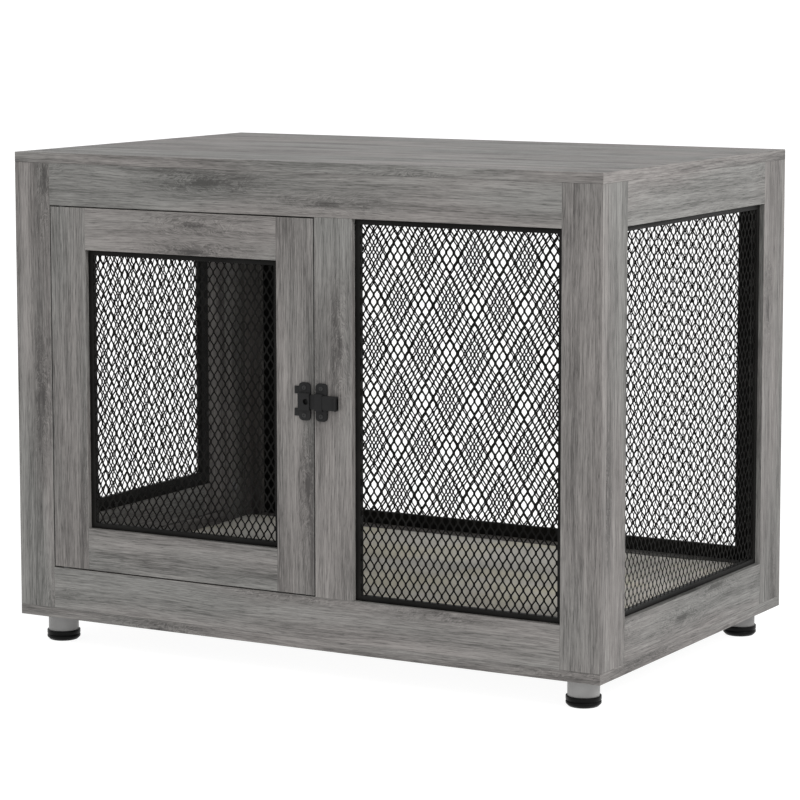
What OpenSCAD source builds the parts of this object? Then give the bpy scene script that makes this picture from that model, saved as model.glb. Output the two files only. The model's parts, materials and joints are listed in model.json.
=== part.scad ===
// Furniture style pet crate: a boarded case with five mesh panels, two hinged doors with slide
// bolts, four levelling feet and a floor pad. Millimetres, +Z up, -Y is the front.
// The origin is on the floor, under the middle of the case.

/* [Case] */
// Width of the case along the front
case_w = 965; // [880:5:1100]
// Depth of the case from front to back
case_d = 614; // [560:2:760]
// Height of the case without its feet
case_h = 692; // [600:2:820]
// Thickness of every board
board_t = 15; // [14:0.5:16]

/* [Frames] */
// Width of the four upright posts on the front and the back
post_w = 61.5; // [50:0.5:75]
// Shift of the back window towards the right wall
back_shift = 2.5; // [0:0.5:6]
// Rise of the back window's lower edge over the other openings
back_rise = 2; // [0:0.5:4]
// Width of the uprights on the two sides
side_stile_w = 60; // [54:0.5:75]
// Height of the rails under the top board
top_rail_h = 61.5; // [60:0.5:80]
// Height of the rails on the base board
bottom_rail_h = 61.5; // [60:0.5:80]
// Width of the upright between the front door and the front window
mid_stile_w = 61.5; // [60:0.5:90]
// Width of the front door's bay
door_bay_w = 454.5; // [380:0.5:480]

/* [Doors] */
// Gap all round each door
door_gap = 2; // [2:0.1:3]
// Width of the doors' uprights
door_stile_w = 61; // [54:0.5:75]
// Height of the doors' rails
door_rail_h = 61.5; // [50:0.5:75]

/* [Mesh panels] */
// Depth of the steel frame's outer edge behind the outer face of the boards
grille_recess = 7.6; // [6:0.1:11]
// Width of the steel frame that shows inside the wooden opening
grille_rim = 8; // [5:0.5:12]
// Play between the steel frame and the wooden opening
grille_play = 1; // [0.3:0.1:1]
// Lap of the steel flange over the inner face of the boards
grille_lap = 12; // [10:0.5:16]
// Thickness of the steel flange
flange_t = 1.5; // [1:0.1:2.5]
// Thickness of the expanded mesh
net_t = 1.5; // [1:0.1:2.5]
// Depth of the mesh behind the steel frame's outer edge
net_set = 1.2; // [0.8:0.1:2]
// Width of one diamond of the coarse net
net_pitch_w = 57; // [50:1:80]
// Height of one diamond of the coarse net
net_pitch_h = 95; // [84:1:130]
// Width of one strand of the coarse net
strand_w = 6; // [3:0.5:10]

/* [Hinge pins] */
// Distance from a door's hinge edge to its pin
hinge_inset = 18; // [17:0.5:24]
// Diameter of the hinge pins
pin_d = 6; // [5:0.5:8]
// Length of a pin inside the door
pin_grip = 18; // [14:1:24]
// Running clearance between a pin and its bush
pin_play = 0.05; // [0.03:0.01:0.09]
// Wall of the bushes
bush_wall = 2; // [1.5:0.1:3]
// Depth of the bushes in the rails
bush_depth = 11.5; // [9:0.5:12]
// Room past a pin's end in its bush
pin_end = 1; // [0.5:0.1:2]
// Diameter of the bushes' flange
bush_flange_d = 13.6; // [12:0.1:14.4]
// Gap between a bush's flange and the door
bush_gap = 0.3; // [0.2:0.1:0.5]

/* [Slide bolts] */
// Height of the bolts' middle above the case's underside
latch_z = 355.5; // [280:0.5:430]
// Height of the latch plates
plate_h = 54; // [50:0.5:70]
// Width of the latch plates
plate_w = 18.5; // [18:0.5:22]
// Width of the bridge over the bolt on the guide
bridge_w = 12.3; // [10:0.1:15]
// Distance from the bolt's middle to the plates' screws
plate_screw_rise = 19.6; // [18:0.1:21]
// Radius of the latch plates' corners
plate_r = 6; // [4:0.5:8]
// Thickness of the latch plates
plate_t = 3.5; // [3:0.1:4.5]
// Distance from the door's edge to the plate on each side
plate_edge = 3.5; // [3:0.5:7]
// Thickness of the sliding bolt
bolt_t = 3; // [2.5:0.1:4]
// Height of the sliding bolt
bolt_h = 20.6; // [18:0.2:24]
// Height of the slot between the bolt's two prongs
slot_h = 13.4; // [10:0.2:15]
// Running gap round the bolt
bolt_play = 0.3; // [0.2:0.05:0.5]
// Floor of the plates under the bolt
plate_floor = 1.6; // [1.2:0.1:2]
// Wall of the straps round the bolt
strap_t = 1.7; // [1.4:0.1:2.2]
// Reach of the bolt's web under the door's strap
web_in = 1; // [0.4:0.1:1.4]
// Reach of the prongs past the door's edge at rest
prong_reach = 17; // [15:0.5:18]
// Length of the bolt's pull tab
tab_l = 24; // [18:1:30]
// Thickness of the pull tab's turned-out lip
lip_t = 3.5; // [2.5:0.1:5]
// Height of the pull tab's lip over the board
lip_h = 10; // [8:0.5:14]
// Diameter of the hole in the door's strap
eye_d = 8.5; // [6:0.5:10]
// Distance from the hole to the edge of the door's strap
eye_edge = 1.5; // [1:0.1:2.5]
// Length of the two ears on the door's plate
ear_l = 8; // [5:0.5:10]
// Height of the two ears on the door's plate
ear_h = 11; // [8:0.5:11]
// Thickness of the ears
ear_t = 2; // [1.5:0.1:3]

/* [Feet] */
// Distance from the case's end to a foot's axis
foot_x = 46; // [40:1:60]
// Distance from the case's front or back to a foot's axis
foot_y = 43; // [40:1:60]
// Total height of the feet at rest
foot_h = 41; // [39:0.5:50]
// Diameter of the feet's tubes
tube_d = 45; // [40:0.5:50]
// Length of the feet's tubes
tube_l = 27.7; // [26:0.1:29]
// Wall of the tubes
tube_wall = 2; // [1.5:0.1:3]
// Thickness of the tubes' top plates
tube_cap_t = 3; // [2:0.5:4]
// Distance from the tubes' wall to the heads of their screws
foot_screw_gap = 1; // [0.5:0.1:2]
// Diameter of the levelling screws
screw_d = 8; // [6:0.5:10]
// Room over a levelling screw's tip
screw_room = 2; // [1:0.5:4]
// Chamfer of a levelling screw's tip
screw_tip = 0.6; // [0.4:0.1:1]
// Running clearance between a levelling screw and its boss
screw_play = 0.05; // [0.03:0.01:0.09]
// Wall of the boss that holds the levelling screw
boss_wall = 3; // [2:0.5:5]
// Distance from the tubes' end up to their boss
boss_rise = 4; // [2:0.5:6]
// Depth of the glides' cup round the tube's end
glide_cup = 2.1; // [1.5:0.1:3]
// Width of the glides' rim past the tube
glide_rim = 1.9; // [1.6:0.1:3]
// Play between the tube and the glide
glide_play = 0.4; // [0.3:0.05:0.6]
// Chamfer round the glides' foot
glide_chamfer = 4; // [2:0.5:5]
// Depth of the groove round the glides
groove_depth = 1.2; // [0.8:0.1:1.5]
// Width of the groove at the glides' surface
groove_w = 2.4; // [1.5:0.1:3]
// Height of the groove's middle over the floor
groove_rise = 8.3; // [6.5:0.1:9]
// Chamfer of the glides' upper edge
glide_edge = 0.8; // [0.4:0.1:1]

/* [Fasteners] */
// Diameter of the wooden dowels
dowel_d = 8; // [6:0.5:10]
// Length of the wooden dowels
dowel_l = 30; // [24:1:36]
// Distance between the two dowels of a joint
dowel_pitch = 28; // [20:1:30]
// Distance from a board's edge to the cam in it
cam_setback = 34; // [30:0.5:36]
// Diameter of the cams
cam_d = 15; // [12:0.5:16]
// Depth of the cams in the boards
cam_depth = 12.5; // [11:0.5:13]
// Diameter of the cams' bolts
cam_bolt_d = 6; // [5:0.5:7]
// Depth of the cams' bolts in the next board
cam_bolt_in = 10; // [8:0.5:11]
// Distance from a panel's ends to the cams in its rails
cam_end = 160; // [140:5:180]
// Distance from the case's top and underside to the cams at the corners
cam_rise = 112; // [105:1:130]
// Diameter of the small screws' shanks
small_screw_d = 3.2; // [2.8:0.1:4]
// Length of the small screws' shanks
small_screw_l = 12; // [9:0.5:13]
// Diameter of the small screws' heads
small_head_d = 6.5; // [5.5:0.1:8]
// Height of the small screws' heads
small_head_h = 1.6; // [1.2:0.1:2.2]
// Clearance round shanks, dowels and cams
fit_play = 0.05; // [0.03:0.01:0.1]

/* [Floor pad] */
// Gap between the floor pad and the walls
pad_gap = 3; // [2:0.5:10]
// Height of the pad's top over the base board
pad_h = 51; // [34:1:51]
// Height of the seam round the pad's upper edge
pad_seam_h = 46; // [24:1:46]
// Depth by which the pad's sides draw in between its corners
pad_draw = 4; // [2:0.5:10]
// Width of the rounded margin of the pad's top
pad_margin = 20; // [12:1:50]
// Fall of the pad's top from its middle to its margins
pad_crown = 0.7; // [0.3:0.1:2]
// Bulge of the pad's sides between the seam and the underside
pad_bulge = 1.2; // [0.5:0.1:2]
// Inset of the pad's underside
pad_foot_in = 3; // [1:0.5:6]
// Height of the rounding at the pad's underside
pad_foot_h = 4; // [2:0.5:8]

/* [Hidden] */
$fn = 48;
oak = "#7d7a75";
steel = "#1b1b1c";
zinc = "#9a9b9d";
beech = "#c9a877";
nylon = "#232324";
aluminium = "#8e9092";
cloth = "#b9b6ab";
eps = 0.5;

// Bays are [left, right, bottom, top] in a wall's own frame, seen from outside
wall_bottom = board_t;
wall_top = case_h - board_t;
bay_bottom = wall_bottom + bottom_rail_h;
bay_top = wall_top - top_rail_h;
front_door_bay = [post_w, post_w + door_bay_w, bay_bottom, bay_top];
front_window_bay = [post_w + door_bay_w + mid_stile_w, case_w - post_w, bay_bottom, bay_top];
side_bay = [board_t + side_stile_w, case_d - board_t - side_stile_w, bay_bottom, bay_top];
back_bay = [post_w - back_shift, case_w - post_w - back_shift, bay_bottom + back_rise, bay_top];

function inset(bay, across, up) = [bay[0] + across, bay[1] - across, bay[2] + up, bay[3] - up];
function door_of(bay) = inset(bay, door_gap, door_gap);
function door_window(bay) = inset(door_of(bay), door_stile_w, door_rail_h);
function quarter(low, high, k) = low + (high - low) * k / 4;

// Slide bolt sizes worked out from the running gaps
bolt_low = plate_floor + bolt_play;
bolt_high = bolt_low + bolt_t;
channel_high = bolt_high + bolt_play;
strap_high = channel_high + strap_t;
strap_h = bolt_h + 2 * bolt_play + 2 * strap_t;

// Foot sizes
boss_d = screw_d + 2 * screw_play + 2 * boss_wall;
boss_l = tube_l - boss_rise;
glide_d = tube_d + 2 * glide_play + 2 * glide_rim;
glide_h = foot_h - tube_l - glide_play + glide_cup;
foot_screw_r = tube_d / 2 - tube_wall - small_head_d / 2 - foot_screw_gap;

// Frames of the four walls: x runs right seen from outside, y inwards, z up
module at_origin() { translate([-case_w / 2, -case_d / 2, foot_h]) children(); }
module on_front() { at_origin() children(); }
module on_right() { at_origin() translate([case_w, 0, 0]) rotate([0, 0, 90]) children(); }
module on_left() { at_origin() translate([0, case_d, 0]) rotate([0, 0, -90]) children(); }
module on_back() { at_origin() translate([case_w, case_d, 0]) rotate([0, 0, 180]) children(); }

// Plain board in a wall
module board(left, right, bottom, top) {
    translate([left, 0, bottom]) cube([right - left, board_t, top - bottom]);
}

// Rod along x, y or z round a middle point
module rod_x(x, y, z, d, l) {
    translate([x, y, z]) rotate([0, 90, 0]) cylinder(d = d, h = l, center = true);
}
module rod_y(x, y0, y1, z, d) {
    translate([x, y0, z]) rotate([-90, 0, 0]) cylinder(d = d, h = y1 - y0);
}
module rod_z(x, y, z0, z1, d) {
    translate([x, y, z0]) cylinder(d = d, h = z1 - z0);
}

// Dowels of a frame whose rails stand between two uprights
module frame_dowels(bay, stile, low_rail, high_rail, play = 0) {
    for (x = [bay[0] + stile, bay[1] - stile])
        for (middle = [bay[2] + low_rail / 2, bay[3] - high_rail / 2])
            for (side = [-1, 1])
                rod_x(x, board_t / 2, middle + side * dowel_pitch / 2,
                      dowel_d + 2 * play, dowel_l + 4 * play);
}

// Dowels at both ends of the upright beside the front door
module centre_dowels(play = 0) {
    middle = front_door_bay[1] + mid_stile_w / 2;
    for (end = [bay_bottom, bay_top])
        for (side = [-1, 1])
            rod_z(middle + side * dowel_pitch / 2, board_t / 2,
                  end - dowel_l / 2 - 2 * play, end + dowel_l / 2 + 2 * play, dowel_d + 2 * play);
}

module front_dowels(play = 0) {
    frame_dowels([0, case_w, wall_bottom, wall_top], post_w, bottom_rail_h, top_rail_h, play);
    centre_dowels(play);
}

module back_dowels(play = 0) {
    frame_dowels([-back_shift, case_w - back_shift, wall_bottom, wall_top],
                 post_w, bottom_rail_h + back_rise, top_rail_h, play);
}

module side_dowels(play = 0) {
    frame_dowels([board_t, case_d - board_t, wall_bottom, wall_top],
                 side_stile_w, bottom_rail_h, top_rail_h, play);
}

module door_dowels(bay, play = 0) {
    frame_dowels(door_of(bay), door_stile_w, door_rail_h, door_rail_h, play);
}

// Cams that hold a wall of the given length to the top and base boards
module rail_cam_discs(length, play = 0) {
    for (x = [cam_end, length - cam_end])
        for (z = [wall_bottom + cam_setback, wall_top - cam_setback])
            rod_y(x, board_t - cam_depth - play, board_t, z, cam_d + 2 * play);
}

module rail_cam_bolts(length, play = 0) {
    near = cam_setback - cam_d / 2 - 2 * fit_play;
    for (x = [cam_end, length - cam_end]) {
        rod_z(x, board_t / 2, wall_bottom - cam_bolt_in - 2 * play, wall_bottom + near + 2 * play,
              cam_bolt_d + 2 * play);
        rod_z(x, board_t / 2, wall_top - near - 2 * play, wall_top + cam_bolt_in + 2 * play,
              cam_bolt_d + 2 * play);
    }
}

// Cams that hold a side wall to the front and back posts
module corner_cam_discs(play = 0) {
    for (x = [board_t + cam_setback, case_d - board_t - cam_setback])
        for (z = [cam_rise, case_h - cam_rise])
            rod_y(x, board_t - cam_depth - play, board_t, z, cam_d + 2 * play);
}

module corner_cam_bolts(play = 0) {
    near = cam_setback - cam_d / 2 - 2 * fit_play;
    length = near + cam_bolt_in + 4 * play;
    for (x = [board_t + (near - cam_bolt_in) / 2, case_d - board_t - (near - cam_bolt_in) / 2])
        for (z = [cam_rise, case_h - cam_rise])
            rod_x(x, board_t / 2, z, cam_bolt_d + 2 * play, length);
}

// Pan-head screw from a face at the origin, its shank upwards; with play it is the shank's hole
module small_screw(play = 0) {
    reach = small_screw_l + 4 * play;
    translate([0, 0, -2 * play]) cylinder(d = small_screw_d + 2 * play, h = reach);
    if (play == 0) translate([0, 0, -small_head_h]) cylinder(d = small_head_d, h = small_head_h);
}

// The same screw in a wall, in a face at depth y, with its shank along +y or -y
module wall_screw(x, y, z, way, play = 0) {
    translate([x, y, z]) rotate([way > 0 ? -90 : 90, 0, 0]) small_screw(play);
}

// Screws through the steel flange round an opening, driven from inside the crate
module grille_screws(hole, play = 0) {
    reach = grille_lap / 2;
    for (k = [1, 3]) {
        for (x = [hole[0] - reach, hole[1] + reach])
            wall_screw(x, board_t + flange_t, quarter(hole[2], hole[3], k), -1, play);
        for (z = [hole[2] - reach, hole[3] + reach])
            wall_screw(quarter(hole[0], hole[1], k), board_t + flange_t, z, -1, play);
    }
}

// Screws of a latch plate whose middle is at x
module plate_screws(x, play = 0) {
    for (side = [-1, 1]) wall_screw(x, -plate_t, latch_z + side * plate_screw_rise, 1, play);
}

function guide_x(bay) = door_of(bay)[1] + door_gap + plate_edge + plate_w / 2;
function keeper_x(bay) = door_of(bay)[1] - plate_edge - plate_w / 2;
function hinge_x(bay) = door_of(bay)[0] + hinge_inset;

// Everything that is cut out of the boards of each wall
module front_cuts() {
    front_dowels(fit_play);
    rail_cam_discs(case_w, fit_play);
    rail_cam_bolts(case_w, fit_play);
    grille_screws(front_window_bay, fit_play);
    plate_screws(guide_x(front_door_bay), fit_play);
    bush_bores(front_door_bay);
}

module back_cuts() {
    back_dowels(fit_play);
    rail_cam_discs(case_w, fit_play);
    rail_cam_bolts(case_w, fit_play);
    grille_screws(back_bay, fit_play);
}

module side_cuts() {
    side_dowels(fit_play);
    rail_cam_discs(case_d, fit_play);
    rail_cam_bolts(case_d, fit_play);
    corner_cam_discs(fit_play);
    corner_cam_bolts(fit_play);
}

module right_cuts() {
    side_cuts();
    grille_screws(side_bay, fit_play);
}

module left_cuts() {
    side_cuts();
    plate_screws(guide_x(side_bay), fit_play);
    bush_bores(side_bay);
}

module door_cuts(bay) {
    door_dowels(bay, fit_play);
    grille_screws(door_window(bay), fit_play);
    plate_screws(keeper_x(bay), fit_play);
    pin_bores(bay);
}

// Boards of the case
module flat_board(bottom) {
    difference() {
        translate([0, 0, bottom]) cube([case_w, case_d, board_t]);
        rail_cam_bolts(case_w, fit_play);
        translate([case_w, case_d, 0]) rotate([0, 0, 180]) rail_cam_bolts(case_w, fit_play);
        translate([case_w, 0, 0]) rotate([0, 0, 90]) rail_cam_bolts(case_d, fit_play);
        translate([0, case_d, 0]) rotate([0, 0, -90]) rail_cam_bolts(case_d, fit_play);
        if (bottom == 0) foot_screw_pilots();
    }
}

module top_board() { color(oak) at_origin() flat_board(wall_top); }
module base_board() { color(oak) at_origin() flat_board(0); }

module post(left, right) {
    difference() {
        board(left, right, wall_bottom, wall_top);
        children();
    }
}

// Corner bolts seen from the front or the back wall
module corner_holes() {
    translate([case_w, 0, 0]) rotate([0, 0, 90]) corner_cam_bolts(fit_play);
    translate([0, case_d, 0]) rotate([0, 0, -90]) corner_cam_bolts(fit_play);
}

module front_left_post() {
    color(oak) on_front() post(0, post_w) { front_cuts(); corner_holes(); }
}
module front_right_post() {
    color(oak) on_front() post(case_w - post_w, case_w) { front_cuts(); corner_holes(); }
}
module back_left_post() {
    color(oak) on_back() post(back_bay[1], case_w) { back_cuts(); corner_holes(); }
}
module back_right_post() {
    color(oak) on_back() post(0, back_bay[0]) { back_cuts(); corner_holes(); }
}

module rail(left, right, bottom, top) {
    difference() {
        board(left, right, bottom, top);
        children();
    }
}

module front_top_rail() {
    color(oak) on_front() rail(post_w, case_w - post_w, bay_top, wall_top) front_cuts();
}
module front_bottom_rail() {
    color(oak) on_front() rail(post_w, case_w - post_w, wall_bottom, bay_bottom) front_cuts();
}
module back_top_rail() {
    color(oak) on_back() rail(back_bay[0], back_bay[1], bay_top, wall_top) back_cuts();
}
module back_bottom_rail() {
    color(oak) on_back() rail(back_bay[0], back_bay[1], wall_bottom, back_bay[2]) back_cuts();
}
module front_centre_stile() {
    color(oak) on_front() rail(front_door_bay[1], front_window_bay[0], bay_bottom, bay_top) front_cuts();
}

// Uprights and rails of the side walls, left and right as seen from outside each wall
module left_upright() { rail(board_t, side_bay[0], wall_bottom, wall_top) children(); }
module right_upright() { rail(side_bay[1], case_d - board_t, wall_bottom, wall_top) children(); }
module high_rail() { rail(side_bay[0], side_bay[1], bay_top, wall_top) children(); }
module low_rail() { rail(side_bay[0], side_bay[1], wall_bottom, bay_bottom) children(); }

module right_front_stile() { color(oak) on_right() left_upright() right_cuts(); }
module right_rear_stile() { color(oak) on_right() right_upright() right_cuts(); }
module right_top_rail() { color(oak) on_right() high_rail() right_cuts(); }
module right_bottom_rail() { color(oak) on_right() low_rail() right_cuts(); }
module left_front_stile() { color(oak) on_left() right_upright() left_cuts(); }
module left_rear_stile() { color(oak) on_left() left_upright() left_cuts(); }
module left_top_rail() { color(oak) on_left() high_rail() left_cuts(); }
module left_bottom_rail() { color(oak) on_left() low_rail() left_cuts(); }

// Boards of a door in a bay
module door_upright(bay, at_hinge) {
    outline = door_of(bay);
    left = at_hinge ? outline[0] : outline[1] - door_stile_w;
    rail(left, left + door_stile_w, outline[2], outline[3]) door_cuts(bay);
}

module door_rail(bay, at_top) {
    outline = door_of(bay);
    low = at_top ? outline[3] - door_rail_h : outline[2];
    rail(outline[0] + door_stile_w, outline[1] - door_stile_w, low, low + door_rail_h) door_cuts(bay);
}

module front_door_hinge_stile() { color(oak) on_front() door_upright(front_door_bay, true); }
module front_door_latch_stile() { color(oak) on_front() door_upright(front_door_bay, false); }
module front_door_top_rail() { color(oak) on_front() door_rail(front_door_bay, true); }
module front_door_bottom_rail() { color(oak) on_front() door_rail(front_door_bay, false); }
module side_door_hinge_stile() { color(oak) on_left() door_upright(side_bay, true); }
module side_door_latch_stile() { color(oak) on_left() door_upright(side_bay, false); }
module side_door_top_rail() { color(oak) on_left() door_rail(side_bay, true); }
module side_door_bottom_rail() { color(oak) on_left() door_rail(side_bay, false); }

// Flat block between two depths over an area [left, right, bottom, top]
module block(area, front, back) {
    translate([area[0], front, area[2]]) cube([area[1] - area[0], back - front, area[3] - area[2]]);
}

// Steel frame in a wooden opening: a bar inside the opening and a flange on the boards' inner face
module mesh_frame(hole) {
    bar = inset(hole, grille_play, grille_play);
    flange = inset(hole, -grille_lap, -grille_lap);
    inner = inset(hole, grille_rim, grille_rim);
    difference() {
        union() {
            block(bar, grille_recess, board_t + flange_t);
            block(flange, board_t, board_t + flange_t);
        }
        block(inner, grille_recess - eps, board_t + flange_t + eps);
        grille_screws(hole, fit_play);
    }
}

// Expanded mesh as a coarse diamond net that fills the steel frame
module mesh_net(hole) {
    area = inset(hole, grille_rim, grille_rim);
    wide = area[1] - area[0];
    high = area[3] - area[2];
    half_w = net_pitch_w / 2;
    half_h = net_pitch_h / 2;
    slant = norm([half_w, half_h]);
    gap_w = half_w - strand_w / 2 * slant / half_h;
    gap_h = half_h - strand_w / 2 * slant / half_w;
    columns = ceil(wide / net_pitch_w) + 1;
    rows = ceil(high / net_pitch_h) + 1;
    translate([area[0] + wide / 2, grille_recess + net_set + net_t, area[2] + high / 2])
        rotate([90, 0, 0]) linear_extrude(net_t) difference() {
            square([wide, high], center = true);
            intersection() {
                square([wide - strand_w, high - strand_w], center = true);
                for (column = [-columns : columns], row = [-rows : rows])
                    if ((column + row) % 2 == 0)
                        translate([column * half_w, row * half_h])
                            polygon([[gap_w, 0], [0, gap_h], [-gap_w, 0], [0, -gap_h]]);
            }
        }
}

module front_window_frame() { color(steel) on_front() mesh_frame(front_window_bay); }
module front_window_mesh() { color(steel) on_front() mesh_net(front_window_bay); }
module right_window_frame() { color(steel) on_right() mesh_frame(side_bay); }
module right_window_mesh() { color(steel) on_right() mesh_net(side_bay); }
module back_window_frame() { color(steel) on_back() mesh_frame(back_bay); }
module back_window_mesh() { color(steel) on_back() mesh_net(back_bay); }
module front_door_mesh_frame() { color(steel) on_front() mesh_frame(door_window(front_door_bay)); }
module front_door_mesh() { color(steel) on_front() mesh_net(door_window(front_door_bay)); }
module side_door_mesh_frame() { color(steel) on_left() mesh_frame(door_window(side_bay)); }
module side_door_mesh() { color(steel) on_left() mesh_net(door_window(side_bay)); }

// Hinge pins stand out of the door's ends into flanged bushes in the rails
module hinge_pins(bay) {
    outline = door_of(bay);
    reach = door_gap + bush_depth - pin_end;
    rod_z(hinge_x(bay), board_t / 2, outline[2] - reach, outline[2] + pin_grip, pin_d);
    rod_z(hinge_x(bay), board_t / 2, outline[3] - pin_grip, outline[3] + reach, pin_d);
}

module pin_bores(bay) {
    outline = door_of(bay);
    rod_z(hinge_x(bay), board_t / 2, outline[2] - eps, outline[2] + pin_grip, pin_d);
    rod_z(hinge_x(bay), board_t / 2, outline[3] - pin_grip, outline[3] + eps, pin_d);
}

bush_d = pin_d + 2 * pin_play + 2 * bush_wall;
bush_flange_t = door_gap - bush_gap;

module bush_bores(bay) {
    rod_z(hinge_x(bay), board_t / 2, bay[2] - bush_depth, bay[2] + eps, bush_d);
    rod_z(hinge_x(bay), board_t / 2, bay[3] - eps, bay[3] + bush_depth, bush_d);
}

// One bush with its bore, flange upwards, from the rail's edge at the origin
module bush() {
    bore = pin_d + 2 * pin_play;
    rotate_extrude() polygon([
        [bore / 2, -bush_depth], [bush_d / 2, -bush_depth], [bush_d / 2, 0],
        [bush_flange_d / 2, 0], [bush_flange_d / 2, bush_flange_t], [bore / 2, bush_flange_t]
    ]);
}

module bushes(bay) {
    translate([hinge_x(bay), board_t / 2, bay[2]]) bush();
    translate([hinge_x(bay), board_t / 2, bay[3]]) mirror([0, 0, 1]) bush();
}

module front_hinge_pins() { color(zinc) on_front() hinge_pins(front_door_bay); }
module side_hinge_pins() { color(zinc) on_left() hinge_pins(side_bay); }
module hinge_bushes() {
    color(nylon) on_front() bushes(front_door_bay);
    color(nylon) on_left() bushes(side_bay);
}

// Latch plate with rounded corners, standing off the outer face
module latch_plate(x) {
    left = x - plate_w / 2;
    right = x + plate_w / 2;
    low = latch_z - plate_h / 2;
    high = latch_z + plate_h / 2;
    block([left, right, low + plate_r, high - plate_r], -plate_t, 0);
    block([left + plate_r, right - plate_r, low, high], -plate_t, 0);
    for (cx = [left + plate_r, right - plate_r], cz = [low + plate_r, high - plate_r])
        rod_y(cx, -plate_t, 0, cz, 2 * plate_r);
}

// Band of the given height round the bolt's middle, between two depths off the face
module band(left, right, high, near, far) {
    block([left, right, latch_z - high / 2, latch_z + high / 2], -far, -near);
}

// Guide on the case: the bolt slides behind its bridge
module bolt_guide(bay) {
    x = guide_x(bay);
    left = x - plate_w / 2;
    difference() {
        union() {
            latch_plate(x);
            band(left, left + bridge_w, strap_h, 0, strap_high);
        }
        band(left - eps, left + plate_w + eps, bolt_h + 2 * bolt_play, plate_floor, channel_high);
        plate_screws(x, fit_play);
    }
}

// Keeper on the door: a strap with an eye, and two ears on its far side
module bolt_keeper(bay) {
    x = keeper_x(bay);
    left = x - plate_w / 2;
    right = x + plate_w / 2;
    difference() {
        union() {
            latch_plate(x);
            band(left, right, strap_h, 0, strap_high);
            for (side = [-1, 1])
                translate([left - ear_l, -ear_t, latch_z + side * (bolt_h + ear_h) / 2 - ear_h / 2])
                    cube([ear_l + plate_r, ear_t, ear_h]);
        }
        band(left + strap_t, right + eps, bolt_h + 2 * bolt_play, plate_floor, channel_high);
        rod_y(right - eye_d / 2 - eye_edge, -strap_high - eps, -bolt_low, latch_z, eye_d);
        plate_screws(x, fit_play);
    }
}

// Sliding bolt: two prongs under the strap, a web over the gap and a pull tab with a turned-out lip
module slide_bolt(bay) {
    edge = door_of(bay)[1];
    web = keeper_x(bay) + plate_w / 2 - web_in;
    shoulder = guide_x(bay) - plate_w / 2 + bridge_w + bolt_play;
    tab_end = shoulder + tab_l;
    difference() {
        union() {
            band(edge - prong_reach, tab_end, bolt_h, bolt_low, bolt_high);
            band(shoulder, tab_end, bolt_h, bolt_low, strap_high);
            band(tab_end - lip_t, tab_end, bolt_h, bolt_low, lip_h);
        }
        band(edge - prong_reach - eps, web, slot_h, bolt_low - eps, bolt_high + eps);
    }
}

module bolt_guides() {
    color(steel) on_front() bolt_guide(front_door_bay);
    color(steel) on_left() bolt_guide(side_bay);
}
module front_slide_bolt() { color(steel) on_front() slide_bolt(front_door_bay); }
module side_slide_bolt() { color(steel) on_left() slide_bolt(side_bay); }
module front_bolt_keeper() { color(steel) on_front() bolt_keeper(front_door_bay); }
module side_bolt_keeper() { color(steel) on_left() bolt_keeper(side_bay); }

// Screws, one group to each body that they belong to
module case_screws() {
    color(steel) on_front() grille_screws(front_window_bay);
    color(steel) on_front() plate_screws(guide_x(front_door_bay));
    color(steel) on_right() grille_screws(side_bay);
    color(steel) on_back() grille_screws(back_bay);
    color(steel) on_left() plate_screws(guide_x(side_bay));
}
module front_door_screws() {
    color(steel) on_front() grille_screws(door_window(front_door_bay));
    color(steel) on_front() plate_screws(keeper_x(front_door_bay));
}
module side_door_screws() {
    color(steel) on_left() grille_screws(door_window(side_bay));
    color(steel) on_left() plate_screws(keeper_x(side_bay));
}

// Feet
module each_foot() {
    for (x = [foot_x, case_w - foot_x], y = [foot_y, case_d - foot_y])
        translate([x, y, 0]) children();
}

module foot_screw_ring(play = 0) {
    for (turn = [0 : 2])
        rotate([0, 0, 30 + 120 * turn]) translate([foot_screw_r, 0, -tube_cap_t]) small_screw(play);
}

module foot_screw_pilots() { each_foot() foot_screw_ring(fit_play); }

module foot_tube() {
    difference() {
        union() {
            difference() {
                translate([0, 0, -tube_l]) cylinder(d = tube_d, h = tube_l);
                translate([0, 0, -tube_l - eps])
                    cylinder(d = tube_d - 2 * tube_wall, h = tube_l - tube_cap_t + eps);
            }
            translate([0, 0, -boss_l]) cylinder(d = boss_d, h = boss_l - tube_cap_t / 2);
        }
        translate([0, 0, -boss_l - eps])
            cylinder(d = screw_d + 2 * screw_play, h = boss_l - tube_cap_t + eps);
        foot_screw_ring(fit_play);
    }
}

// Levelling glide: a grooved rim with a cup for the tube and a screw that stands up in the boss
module glide() {
    base = -foot_h;
    top = base + glide_h;
    cup = top - glide_cup;
    rim = glide_d / 2;
    groove = base + groove_rise;
    stem = screw_d / 2;
    tip = -tube_cap_t - screw_room;
    rotate_extrude() polygon([
        [0, base], [rim - glide_chamfer, base], [rim, base + glide_chamfer],
        [rim, groove - groove_w / 2], [rim - groove_depth, groove - groove_w / 6],
        [rim - groove_depth, groove + groove_w / 6], [rim, groove + groove_w / 2],
        [rim, top - glide_edge], [rim - glide_edge, top], [rim - glide_rim, top],
        [rim - glide_rim, cup], [stem, cup], [stem, tip - screw_tip], [stem - screw_tip, tip], [0, tip]
    ]);
}

module foot_tubes() { color(aluminium) at_origin() each_foot() foot_tube(); }
module foot_screws() { color(zinc) at_origin() each_foot() foot_screw_ring(); }
module front_left_glide() { color(steel) at_origin() translate([foot_x, foot_y, 0]) glide(); }
module front_right_glide() { color(steel) at_origin() translate([case_w - foot_x, foot_y, 0]) glide(); }
module rear_left_glide() { color(steel) at_origin() translate([foot_x, case_d - foot_y, 0]) glide(); }
module rear_right_glide() {
    color(steel) at_origin() translate([case_w - foot_x, case_d - foot_y, 0]) glide();
}

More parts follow.
